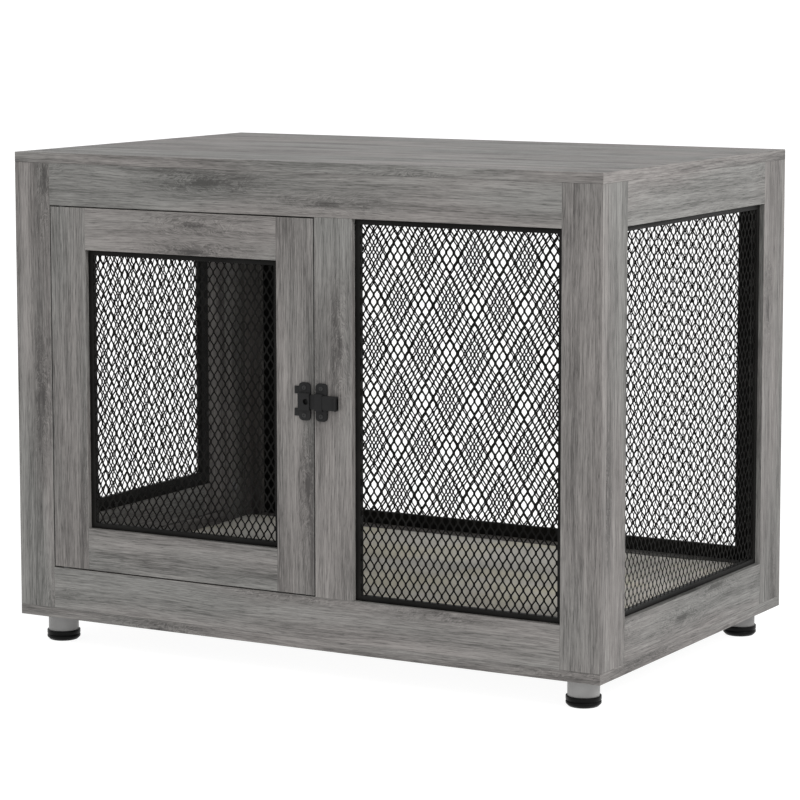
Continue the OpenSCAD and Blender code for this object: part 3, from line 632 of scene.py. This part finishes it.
def lay_grain(bm, size, along, number):
    """UV map in metres: U runs with the grain, and on the edges along the edge band."""
    layer = bm.loops.layers.uv.new("Grain")
    thin = min(range(3), key=lambda axis: size[axis])
    for face in bm.faces:
        across = max(range(3), key=lambda axis: abs(face.normal[axis]))
        others = [axis for axis in range(3) if axis != across]
        u_axis = along if across == thin else max(others, key=lambda axis: size[axis])
        v_axis = next(axis for axis in others if axis != u_axis)
        side = 0.0 if face.normal[across] > 0 else BACK_STEP
        for loop in face.loops:
            loop[layer].uv = (loop.vert.co[u_axis] + BOARD_STEP[0] * number + side,
                              loop.vert.co[v_axis] + BOARD_STEP[1] * number + side + AXIS_STEP * across)


class CRATE_OT_mesh_frames(bpy.types.Operator):
    """Makes the steel angle frames in the openings"""
    bl_idname = "crate.mesh_frames"
    bl_label = "Steel frames"

    def execute(self, context):
        settings = context.scene.crate_mesh
        steel = coated_steel("FrameSteel", settings.steel, 0.5, 0.1)
        for node, (net, wall) in PANELS.items():
            low, high = box_in_wall(wall, node)
            bar_w, flange_t = 0.0075, 0.0015
            lap = box_in_wall(wall, net)[0].x - low.x - bar_w
            flange = (low.x, high.x, low.z, high.z)
            upright = (low.x + lap, high.x - lap, low.z + lap, high.z - lap)
            bm = ring(flange, lap + bar_w, high.y - flange_t, high.y)
            soften(bm, settings.edge)
            inner = ring(upright, bar_w, low.y, high.y - flange_t)
            soften(inner, settings.edge)
            merge(bm, inner)
            stand_in(node, "steel", bm, steel, WALLS[wall], 50)
        return {"FINISHED"}


STRAND_REACH = 0.8  # share of a strand's width that stands into the hole beside it


def mesh_hole(settings, lean):
    """One six-sided hole of expanded mesh, with half a lens-shaped strand on each side."""
    half_w, half_h, bond = settings.pitch_w / 2, settings.pitch_h / 2, settings.bond / 2
    rise = half_h - 2 * bond
    tip = half_h - bond - settings.strand / 2 * Vector((half_w, rise)).length / half_w
    side = half_w - settings.strand * STRAND_REACH
    shoulder = tip - side * rise / half_w
    part = bmesh.new()
    rims = []
    for depth in (-settings.strand_t / 2, None, settings.strand_t / 2):
        made = bmesh.ops.create_circle(part, cap_ends=False, radius=1.0, segments=6,
                                       matrix=UPRIGHT)["verts"]
        for vert in made:
            across = round(vert.co.x / cos(pi / 6))
            up = 1 if vert.co.z > 0 else -1
            if depth is None:
                vert.co = (across * side, lean * across, up * (shoulder if across else tip))
            else:
                vert.co = (across * half_w, depth, up * (bond if across else half_h - bond))
        rims.append([e for e in part.edges if e.verts[0] in made and e.verts[1] in made])
    for first, second in ((0, 1), (1, 2)):
        bmesh.ops.bridge_loops(part, edges=rims[first] + rims[second])
    bmesh.ops.recalc_face_normals(part, faces=part.faces)
    return part


class CRATE_OT_meshes(bpy.types.Operator):
    """Makes the expanded steel mesh in each frame"""
    bl_idname = "crate.meshes"
    bl_label = "Expanded mesh"

    def execute(self, context):
        settings = context.scene.crate_mesh
        steel = coated_steel("MeshSteel", settings.steel, 0.6, 0.05)
        w, h = settings.pitch_w, settings.pitch_h
        for node, wall in PANELS.values():
            low, high = box_in_wall(wall, node)
            middle = (low + high) / 2
            columns = int((high.x - low.x) / w / 2) + 2
            rows = int((high.z - low.z) / h / 2) + 2
            bm = mesh_hole(settings, settings.lean if wall == "left" else 0.0)
            for step, count in (((w / 2, 0, h / 2), 1), ((w, 0, 0), 2 * columns), ((0, 0, h), 2 * rows)):
                bmesh.ops.spin(bm, geom=everything(bm), cent=(0, 0, 0), axis=(0, 1, 0),
                               dvec=step, angle=0, steps=count, use_duplicate=True)
            across, up = NET_SHIFT[node]
            bm.transform(Matrix.Translation((middle.x + across - columns * w, middle.y,
                                             middle.z + up - rows * h)))
            bmesh.ops.remove_doubles(bm, verts=bm.verts, dist=1e-5)
            lap = 0.0006
            for point, normal in (((low.x - lap, 0, 0), (-1, 0, 0)), ((high.x + lap, 0, 0), (1, 0, 0)),
                                  ((0, 0, low.z - lap), (0, 0, -1)), ((0, 0, high.z + lap), (0, 0, 1))):
                bmesh.ops.bisect_plane(bm, geom=everything(bm), dist=1e-6,
                                       plane_co=point, plane_no=normal, clear_outer=True)
            bmesh.ops.holes_fill(bm, edges=[e for e in bm.edges if e.is_boundary], sides=0)
            bmesh.ops.recalc_face_normals(bm, faces=bm.faces)
            stand_in(node, "steel", bm, steel, WALLS[wall], 80)
        return {"FINISHED"}


PLAY = 0.0003            # round the bolt in its channel
CHANNEL_FLOOR = 0.0016   # plate left under the channel
PLATE_GAP = 0.009        # from the keeper's plate to the guide's
GUIDE_STRAP = 0.0123     # width of the guide's strap


def latch_plate(x, settings):
    """Rounded plate with a channel across it for the bolt."""
    bm = bmesh.new()
    half_w, half_h = settings.plate_w / 2, settings.plate_h / 2
    half = settings.bolt_h / 2 + PLAY
    for cuts in (
        [((0, 0, half), (0, 0, -1))],
        [((0, 0, -half), (0, 0, 1))],
        [((0, 0, half), (0, 0, 1)), ((0, 0, -half), (0, 0, -1)), ((0, -CHANNEL_FLOOR, 0), (0, -1, 0))],
    ):
        part = bar(-half_w, half_w, -half_h, half_h, -settings.plate_t, 0, settings.plate_r, 0.0005)
        for point, normal in cuts:
            cut(part, point, normal)
        merge(bm, part, Matrix.Translation((x, 0, settings.height)))
    return bm


def holed_plate(area, near, far, eye_x, eye_z, eye_d):
    """Flat plate over an area (left, right, low, high) between two depths, with a round hole."""
    part = upright_face(*area, near)
    bmesh.ops.delete(part, geom=part.faces[:], context="FACES_ONLY")
    bmesh.ops.create_circle(part, cap_ends=False, radius=eye_d / 2, segments=32,
                            matrix=Matrix.Translation((eye_x, near, eye_z)) @ UPRIGHT)
    bmesh.ops.bridge_loops(part, edges=part.edges[:])
    thicken(part, far - near)
    soften(part, 0.0003)
    return part


class CRATE_OT_latches(bpy.types.Operator):
    """Makes the guides, keepers and sliding bolts of both doors"""
    bl_idname = "crate.latches"
    bl_label = "Latches"

    def execute(self, context):
        settings = context.scene.crate_latches
        steel = coated_steel("LatchSteel", settings.steel, 0.55, 0.15, 1.0)
        guides, stops = bmesh.new(), bmesh.new()
        for door, wall in (("front", "front"), ("side", "left")):
            place = WALLS[wall]
            keeper, bolt, stile = door + "_bolt_keeper", door + "_slide_bolt", door + "_door_latch_stile"
            edge = box_in_wall(wall, keeper)[1].x
            for node, bm in ((keeper, self.keeper(edge, settings)),
                             (bolt, self.bolt(*box_in_wall(wall, bolt), edge, settings))):
                stand_in(node, "steel", bm, steel, place, 40)
            merge(guides, self.guide(edge + PLATE_GAP, settings), place)
            merge(stops, self.stop(*box_in_wall(wall, stile)), place)
        stand_in("bolt_guides", "steel", guides, steel, smooth=40)
        add_piece("door_stops_steel", stops, steel, "case", smooth=40)
        return {"FINISHED"}

    def stop(self, low, high):
        """Plate on the top rail's inner face that keeps the door from swinging inwards."""
        near, far = high.y + 0.0002, high.y + 0.0022
        left, right, bottom, edge = low.x - 0.014, high.x + 0.0015, high.z - 0.007, 0.0005
        bm = bar(left, right, bottom, high.z + 0.018, near, far, 0.003, edge)
        merge(bm, bar(left + 0.003, right - 0.003, bottom, high.z - 0.005, near, far + 0.004, 0, edge))
        for x in (left + 0.012, right - 0.012):
            merge(bm, pan_head_screw(),
                  Matrix.Translation((x, far, high.z + 0.011)) @ Matrix.Rotation(-pi / 2, 4, "X"))
        return bm

    def depths(self, settings):
        """Near side of the channel, then of the strap over it."""
        channel = CHANNEL_FLOOR + PLAY + settings.bolt_t + PLAY
        return channel, channel + settings.strap_t

    def strap(self, bm, left, right, settings, eye=None):
        """Strap over the channel; one with an eye is closed on its left."""
        channel, outer = self.depths(settings)
        z, gap, wall = settings.height, settings.bolt_h / 2 + PLAY, settings.strap_t
        area = (left, right, z - gap - wall, z + gap + wall)
        if eye is None:
            merge(bm, bar(*area, -outer, -channel, 0, 0.0005))
        else:
            merge(bm, holed_plate(area, -outer, -channel, eye, z, settings.eye_d))
        depth = (-channel - 0.0002, -0.001, 0, 0.0002)
        for side in (-1, 1):
            merge(bm, bar(left, right, *sorted((z + side * gap, z + side * (gap + wall))), *depth))
        if eye is not None:
            merge(bm, bar(left, left + wall, z - gap, z + gap, *depth))

    def keeper(self, right, settings):
        """Plate on the door with its strap and two lugs."""
        left = right - settings.plate_w
        bm = latch_plate((left + right) / 2, settings)
        self.strap(bm, left, right, settings, right - settings.eye_d / 2 - 0.0015)
        for side in (-1, 1):
            z = settings.height + side * (settings.bolt_h + 0.011) / 2
            merge(bm, bar(left - 0.008, left + 0.004, z - 0.0055, z + 0.0055, -0.002, 0, 0.0008, 0.0003))
        return bm

    def guide(self, left, settings):
        """Plate on the case with its strap."""
        right = left + settings.plate_w
        bm = latch_plate((left + right) / 2, settings)
        self.strap(bm, left, left + GUIDE_STRAP, settings)
        return bm

    def bolt(self, low, high, edge, settings):
        """Two prongs, a web from the keeper's edge to the guide, and a thick end with a pull tab."""
        z, half, slot = settings.height, settings.bolt_h / 2, settings.slot_h / 2
        far = -CHANNEL_FLOOR - PLAY
        near = far - settings.bolt_t
        web = edge - 0.001
        shoulder = edge + PLATE_GAP + GUIDE_STRAP + PLAY
        bm = bmesh.new()
        for side in (-1, 1):
            bottom, top = sorted((z + side * slot, z + side * half))
            merge(bm, bar(low.x, web + 0.001, bottom, top, near, far, 0, 0.0004))
        merge(bm, bar(web, shoulder + 0.002, z - half, z + half, near, far, 0, 0.0003))
        strap = -self.depths(settings)[1]
        merge(bm, bar(shoulder, high.x, z - half, z + half, strap, far, 0.0025, 0.0006))
        merge(bm, bar(high.x - 0.0035, high.x, z - half, z + half, low.y, far, 0.0012, 0.0009))
        return bm


def cross_headed(span, slot, depth, taper, profile):
    """Turned shape with a cross sunk into its top, from points (radius, height) down from there."""
    part = bmesh.new()
    bmesh.ops.create_grid(part, x_segments=3, y_segments=3, size=span,
                          matrix=Matrix.Translation((0, 0, profile[0][1])))
    for vert in part.verts:
        for axis in (0, 1):
            if abs(vert.co[axis]) < span / 2:
                vert.co[axis] = slot if vert.co[axis] > 0 else -slot
    cross = [f for f in part.faces if min(map(abs, f.calc_center_median().xy)) < 1e-5]
    rim = [e for e in part.edges if e.is_boundary]
    for radius, height in profile:
        grown = bmesh.ops.extrude_edge_only(part, edges=rim)
        rim = [e for e in of_kind(grown, BMEdge) if e.is_boundary]
        for vert in {v for e in rim for v in e.verts}:
            vert.co = (*(vert.co.xy.normalized() * radius), height)
    bmesh.ops.holes_fill(part, edges=rim, sides=0)
    sunk = of_kind(bmesh.ops.extrude_face_region(part, geom=cross), BMVert)
    bmesh.ops.delete(part, geom=[f for f in cross if f.is_valid], context="FACES_ONLY")
    bmesh.ops.translate(part, verts=sunk, vec=(0, 0, -depth))
    bmesh.ops.scale(part, verts=sunk, vec=(taper, taper, 1))
    bmesh.ops.recalc_face_normals(part, faces=part.faces)
    return part


HEAD_T, HEAD_R, SHANK_R = 0.0016, 0.00325, 0.0016


def pan_head_screw():
    """Screw along -z from its head's underside at the origin."""
    return cross_headed(0.0018, 0.0004, 0.0009, 0.75, (
        (0.0025, HEAD_T), (HEAD_R, 0.0009), (HEAD_R, 0.0), (SHANK_R, 0.0), (SHANK_R, -0.012)))


class CRATE_OT_screws(bpy.types.Operator):
    """Makes the pan-head screws of the frames and latch plates"""
    bl_idname = "crate.screws"
    bl_label = "Screws"

    def execute(self, context):
        steel = coated_steel("ScrewSteel", (0.014, 0.014, 0.014), 0.35, 0.3, 0.6)
        for node in ("case_screws", "front_door_screws", "side_door_screws"):
            bm = bmesh.new()
            for number, points in enumerate(solids_of(node)):
                low, high = corners(points)
                axis = max(range(3), key=lambda a: (high - low)[a])
                line = Vector([a == axis for a in range(3)])
                end = [p for p in points if p[axis] < low[axis] + 0.0005]
                head_low = max((p - (low + high) / 2).cross(line).length for p in end) > 0.0025
                place = facing(points, axis, -1 if head_low else 1, HEAD_T)
                merge(bm, pan_head_screw(), place @ Matrix.Rotation(0.7 * number, 4, "Z"))
            stand_in(node, "steel", bm, steel, smooth=45)
        return {"FINISHED"}


class CRATE_OT_cams(bpy.types.Operator):
    """Makes the cams on the inner faces, each with its rim and cross slot"""
    bl_idname = "crate.cams"
    bl_label = "Cams"

    def execute(self, context):
        zinc = turned_metal("CamZinc", (0.50, 0.50, 0.51), 0.36)
        bm = bmesh.new()
        for number, points in enumerate(solids_of("cam_discs")):
            low, high = corners(points)
            axis = min(range(3), key=lambda a: (high - low)[a])
            place = facing(points, axis, -1 if low[axis] + high[axis] > 0 else 1)
            merge(bm, self.cam((low - high)[axis]), place @ Matrix.Rotation(0.5 * number, 4, "Z"))
        stand_in("cam_discs", "zinc", bm, zinc, smooth=40)
        return {"FINISHED"}

    def cam(self, bottom):
        """Disc with a raised rim, from the inner face down."""
        return cross_headed(0.0032, 0.0007, 0.002, 1, (
            (0.0056, 0.0003), (0.0058, 0.00055), (0.0072, 0.00055), (0.0075, 0.0003), (0.0075, bottom)))


class CRATE_OT_feet(bpy.types.Operator):
    """Makes the feet's tubes and the glides with their levelling screws"""
    bl_idname = "crate.feet"
    bl_label = "Feet"

    def execute(self, context):
        settings = context.scene.crate_feet
        tube_paint = coated_steel("TubeMetal", settings.tube, 0.45, 0.3, 0.4)
        plastic = moulded_plastic("GlidePlastic", settings.glide, 0.35, 0.08)
        tube_low, tube_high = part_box("foot_tubes")
        tubes = bmesh.new()
        for node in GLIDES:
            low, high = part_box(node)
            foot = Vector(((low.x + high.x) / 2, (low.y + high.y) / 2, 0))
            merge(tubes, self.tube(tube_low.z, tube_high.z, settings.steps), Matrix.Translation(foot))
            glide = self.glide((high.x - low.x) / 2, low.z, high.z, tube_low.z, settings.steps)
            stand_in(node, "plastic", glide, plastic, Matrix.Translation(foot), 40)
        stand_in("foot_tubes", "metal", tubes, tube_paint, smooth=40)
        return {"FINISHED"}

    def tube(self, low, high, steps):
        """Tube with its cap, and under that the boss that the glide's stem goes into."""
        wall, cap, outer, edge = 0.002, 0.003, 0.0225, 0.0005
        boss, bore, boss_low = 0.00705, 0.00405, low + 0.004
        return turned([
            (0, high), (outer - edge, high), (outer, high - edge), (outer, low + edge),
            (outer - edge, low), (outer - wall + edge, low), (outer - wall, low + edge),
            (outer - wall, high - cap),
            (boss, high - cap), (boss, boss_low + edge), (boss - edge, boss_low), (bore, boss_low),
            (bore, high - cap), (0, high - cap),
        ], steps)

    def glide(self, rim, low, top, tube_low, steps):
        """Cup round the tube's end with a groove, and its threaded stem."""
        cup = tube_low - 0.0004
        high = cup + 0.0021
        stem, tip, half_pitch, thread = 0.004, 0.0006, 0.0006, 0.0005
        seat = rim - 0.0019
        middle = low + 0.0083
        groove = ((rim, 0.0014), (rim - 0.0003, 0.001), (rim - 0.0012, 0.0004))
        threads = [(stem - thread * (step % 2), cup + 0.0005 + half_pitch * step)
                   for step in range(int((top - tip - cup) / half_pitch) - 1)]
        return turned([
            (0, low + 0.0006), (rim - 0.0075, low + 0.0006), (rim - 0.007, low), (rim - 0.0044, low),
            (rim - 0.0036, low + 0.0003), (rim - 0.0004, low + 0.0036), (rim, low + 0.0044),
            *((radius, middle - away) for radius, away in groove),
            *((radius, middle + away) for radius, away in reversed(groove)),
            (rim, high - 0.0008), (rim - 0.0003, high - 0.0002), (rim - 0.0008, high),
            (seat + 0.0002, high), (seat, high - 0.0002), (seat, cup), *threads,
            (stem - tip, top), (0, top),
        ], steps)


class CRATE_OT_hardware(bpy.types.Operator):
    """Gives the pins, bushes, dowels, cam bolts and foot screws their finishes"""
    bl_idname = "crate.hardware"
    bl_label = "Pins, bushes, dowels and bolts"

    def execute(self, context):
        zinc = turned_metal("PinZinc", (0.52, 0.52, 0.53), 0.33)
        nylon = moulded_plastic("BushNylon", (0.03, 0.03, 0.03), 0.45)
        beech = beech_wood()
        for names, material in (
            (("front_hinge_pins", "side_hinge_pins", "cam_bolts", "foot_screws"), zinc),
            (("hinge_bushes",), nylon),
            (("case_dowels", "front_door_dowels", "side_door_dowels"), beech),
        ):
            for name in names:
                node = frame["nodes"][name]
                for slot in node.material_slots:
                    slot.material = material
        return {"FINISHED"}


PAD_ROOM = 0.003  # left round the pad before it is puffed


class CRATE_OT_floor_pad(bpy.types.Operator):
    """Makes the padded floor cushion and its piping"""
    bl_idname = "crate.floor_pad"
    bl_label = "Floor pad"

    def execute(self, context):
        settings = context.scene.crate_pad
        cloth = pad_cloth(settings.cloth)
        low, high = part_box("floor_pad")
        bm = block((low + high) / 2, [side - 2 * PAD_ROOM for side in high - low])
        round_off(bm, bm.edges[:], 3 * PAD_ROOM, 3)
        piece = stand_in("floor_pad", "cloth", bm, cloth)
        puff(piece, settings)
        self.piping(piece, low, high, settings, cloth)
        return {"FINISHED"}

    def piping(self, pad, low, high, settings, cloth):
        """Cord sewn into the seam between the top and the sides."""
        skin = BVHTree.FromObject(pad, bpy.context.evaluated_depsgraph_get())
        corner, reach, gap, proud = 0.04, 0.03, 0.01, 0.4
        middle, half = (low + high) / 2, (high - low) / 2
        middle.z = high.z - settings.seam_drop
        # Round the box, side by side and corner by corner: a place on it and the way inwards
        loop = []
        for turn in range(4):
            across, along = (half.x, half.y) if turn % 2 else (half.y, half.x)
            heading = Matrix.Rotation(pi / 2 * turn, 3, "Z")
            straight = along - corner
            steps = int(straight / gap)
            for step in range(2 * steps):
                loop.append((heading, (step / steps - 1) * straight, -across, Vector((0, 1, 0))))
            for step in range(8):
                angle = pi / 16 * (step + 0.5)
                ray = Vector((-sin(angle), cos(angle), 0))
                loop.append((heading, straight - ray.x * corner, -across + corner - ray.y * corner, ray))
        points = []
        for heading, x, y, ray in loop:
            ray = heading @ ray
            spot = skin.ray_cast(heading @ Vector((x, y, 0)) + middle - ray * reach, ray)[0]
            if spot:
                points.append(spot - ray * settings.piping * proud)
        curve = bpy.data.curves.new("Piping", "CURVE")
        curve.dimensions = "3D"
        curve.bevel_depth = settings.piping
        curve.bevel_resolution = 2
        spline = curve.splines.new("POLY")
        spline.points.add(len(points) - 1)
        for knot, spot in zip(spline.points, points):
            knot.co = (*spot, 1)
        spline.use_cyclic_u = True
        path = bpy.data.objects.new("Piping", curve)
        bm = bmesh.new()
        bm.from_mesh(path.to_mesh())
        path.to_mesh_clear()
        bpy.data.objects.remove(path)
        bpy.data.curves.remove(curve)
        add_piece("floor_pad_piping", bm, cloth, "case", smooth=50)


def puff(piece, settings):
    """Fills the cushion by cloth simulation and applies the result."""
    scene = bpy.context.scene
    remesh = piece.modifiers.new("Remesh", "REMESH")
    remesh.mode = "VOXEL"
    remesh.voxel_size = settings.voxel
    bake_modifiers(piece)
    rest = [v.co.copy() for v in piece.data.vertices]
    cloth = piece.modifiers.new("Cloth", "CLOTH")
    cloth.settings.use_pressure = True
    cloth.settings.uniform_pressure_force = settings.pressure
    cloth.settings.effector_weights.gravity = 0
    cloth.point_cache.frame_start = 1
    cloth.point_cache.frame_end = settings.frames
    for step in range(1, settings.frames + 1):
        scene.frame_set(step)
    bake_modifiers(piece)
    scene.frame_set(1)
    floor = min(v.z for v in rest)
    for vert, start in zip(piece.data.vertices, rest):
        move = vert.co - start
        if move.length > settings.cap:
            vert.co = start + move.normalized() * settings.cap
        vert.co.z = max(vert.co.z, floor - PAD_ROOM)
    finer = piece.modifiers.new("Finer", "SUBSURF")
    finer.levels = finer.render_levels = 1
    bake_modifiers(piece)
    piece.data.shade_smooth()


def bake_modifiers(piece):
    """Applies a piece's modifiers to its mesh."""
    graph = bpy.context.evaluated_depsgraph_get()
    mesh = bpy.data.meshes.new_from_object(piece.evaluated_get(graph))
    material = piece.data.materials[0]
    old = piece.data
    piece.modifiers.clear()
    piece.data = mesh
    mesh.name = piece.name
    mesh.materials.clear()
    mesh.materials.append(material)
    bpy.data.meshes.remove(old)


AIM = Vector((0, 0, 0.35))  # what the light points at


class CRATE_OT_stage(bpy.types.Operator):
    """Makes the floor, the soft light and the camera"""
    bl_idname = "crate.stage"
    bl_label = "Stage"

    def execute(self, context):
        settings = context.scene.crate_stage
        scene = context.scene
        bm = bmesh.new()
        bmesh.ops.create_grid(bm, x_segments=1, y_segments=1, size=30)
        mesh = as_mesh("Floor", bm)
        mesh.materials.append(Recipe("FloorPaper").finish({
            "Base Color": (0.2, 0.2, 0.2, 1), "Roughness": 0.9, "Specular IOR Level": 0.1,
            "Emission Color": (1, 1, 1, 1), "Emission Strength": settings.paper}))
        floor = put("Floor", mesh)

        world = bpy.data.worlds.new("Studio")
        world.use_nodes = True
        nodes, links = world.node_tree.nodes, world.node_tree.links
        height = nodes.new("ShaderNodeSeparateXYZ")
        links.new(nodes.new("ShaderNodeTexCoord").outputs["Generated"], height.inputs[0])
        fade = nodes.new("ShaderNodeMapRange")
        fade.inputs["To Min"].default_value = settings.sky
        fade.inputs["To Max"].default_value = settings.zenith
        links.new(height.outputs["Z"], fade.inputs["Value"])
        nodes["Background"].inputs["Color"].default_value = (1, 1, 1, 1)
        links.new(fade.outputs[0], nodes["Background"].inputs["Strength"])
        scene.world = world

        light = bpy.data.lights.new("Key", "AREA")
        light.size = 2.0
        light.energy = settings.key * 100
        lamp = put("Key", light)
        lamp.location = settings.key_place
        lamp.rotation_euler = (AIM - Vector(settings.key_place)).to_track_quat("-Z", "Y").to_euler()

        camera = bpy.data.cameras.new("Camera")
        camera.lens = settings.lens
        camera.sensor_width = 36
        camera.shift_x, camera.shift_y = settings.shift
        camera.clip_end = 100
        seat = put("Camera", camera)
        seat.location = settings.eye
        seat.rotation_euler = (pi / 2 - settings.tilt, 0, settings.turn)
        scene.camera = seat
        scene.view_settings.view_transform = "Standard"
        return {"FINISHED"}


OPERATORS = [CRATE_OT_boards, CRATE_OT_mesh_frames, CRATE_OT_meshes, CRATE_OT_latches,
             CRATE_OT_screws, CRATE_OT_cams, CRATE_OT_feet, CRATE_OT_hardware,
             CRATE_OT_floor_pad, CRATE_OT_stage]
SETTINGS = {"crate_boards": CrateBoardSettings, "crate_mesh": CrateMeshSettings,
            "crate_latches": CrateLatchSettings, "crate_feet": CrateFootSettings,
            "crate_pad": CratePadSettings, "crate_stage": CrateStageSettings}


class CRATE_PT_panel(bpy.types.Panel):
    """Lists the crate's settings and operators"""
    bl_idname = "CRATE_PT_panel"
    bl_label = "Pet crate"
    bl_space_type = "VIEW_3D"
    bl_region_type = "UI"
    bl_category = "Pet crate"

    def draw(self, context):
        for name, kind in SETTINGS.items():
            box = self.layout.box()
            for key in kind.__annotations__:
                box.prop(getattr(context.scene, name), key)
        for operator in OPERATORS:
            self.layout.operator(operator.bl_idname)


def register():
    for kind in [*SETTINGS.values(), *OPERATORS, CRATE_PT_panel]:
        bpy.utils.register_class(kind)
    for name, kind in SETTINGS.items():
        setattr(bpy.types.Scene, name, PointerProperty(type=kind))


def unregister():
    for name in SETTINGS:
        delattr(bpy.types.Scene, name)
    for kind in reversed([*SETTINGS.values(), *OPERATORS, CRATE_PT_panel]):
        bpy.utils.unregister_class(kind)


def main():
    register()
    for operator in OPERATORS:
        group, name = operator.bl_idname.split(".")
        getattr(getattr(bpy.ops, group), name)()


if __name__ == "__main__":
    main()
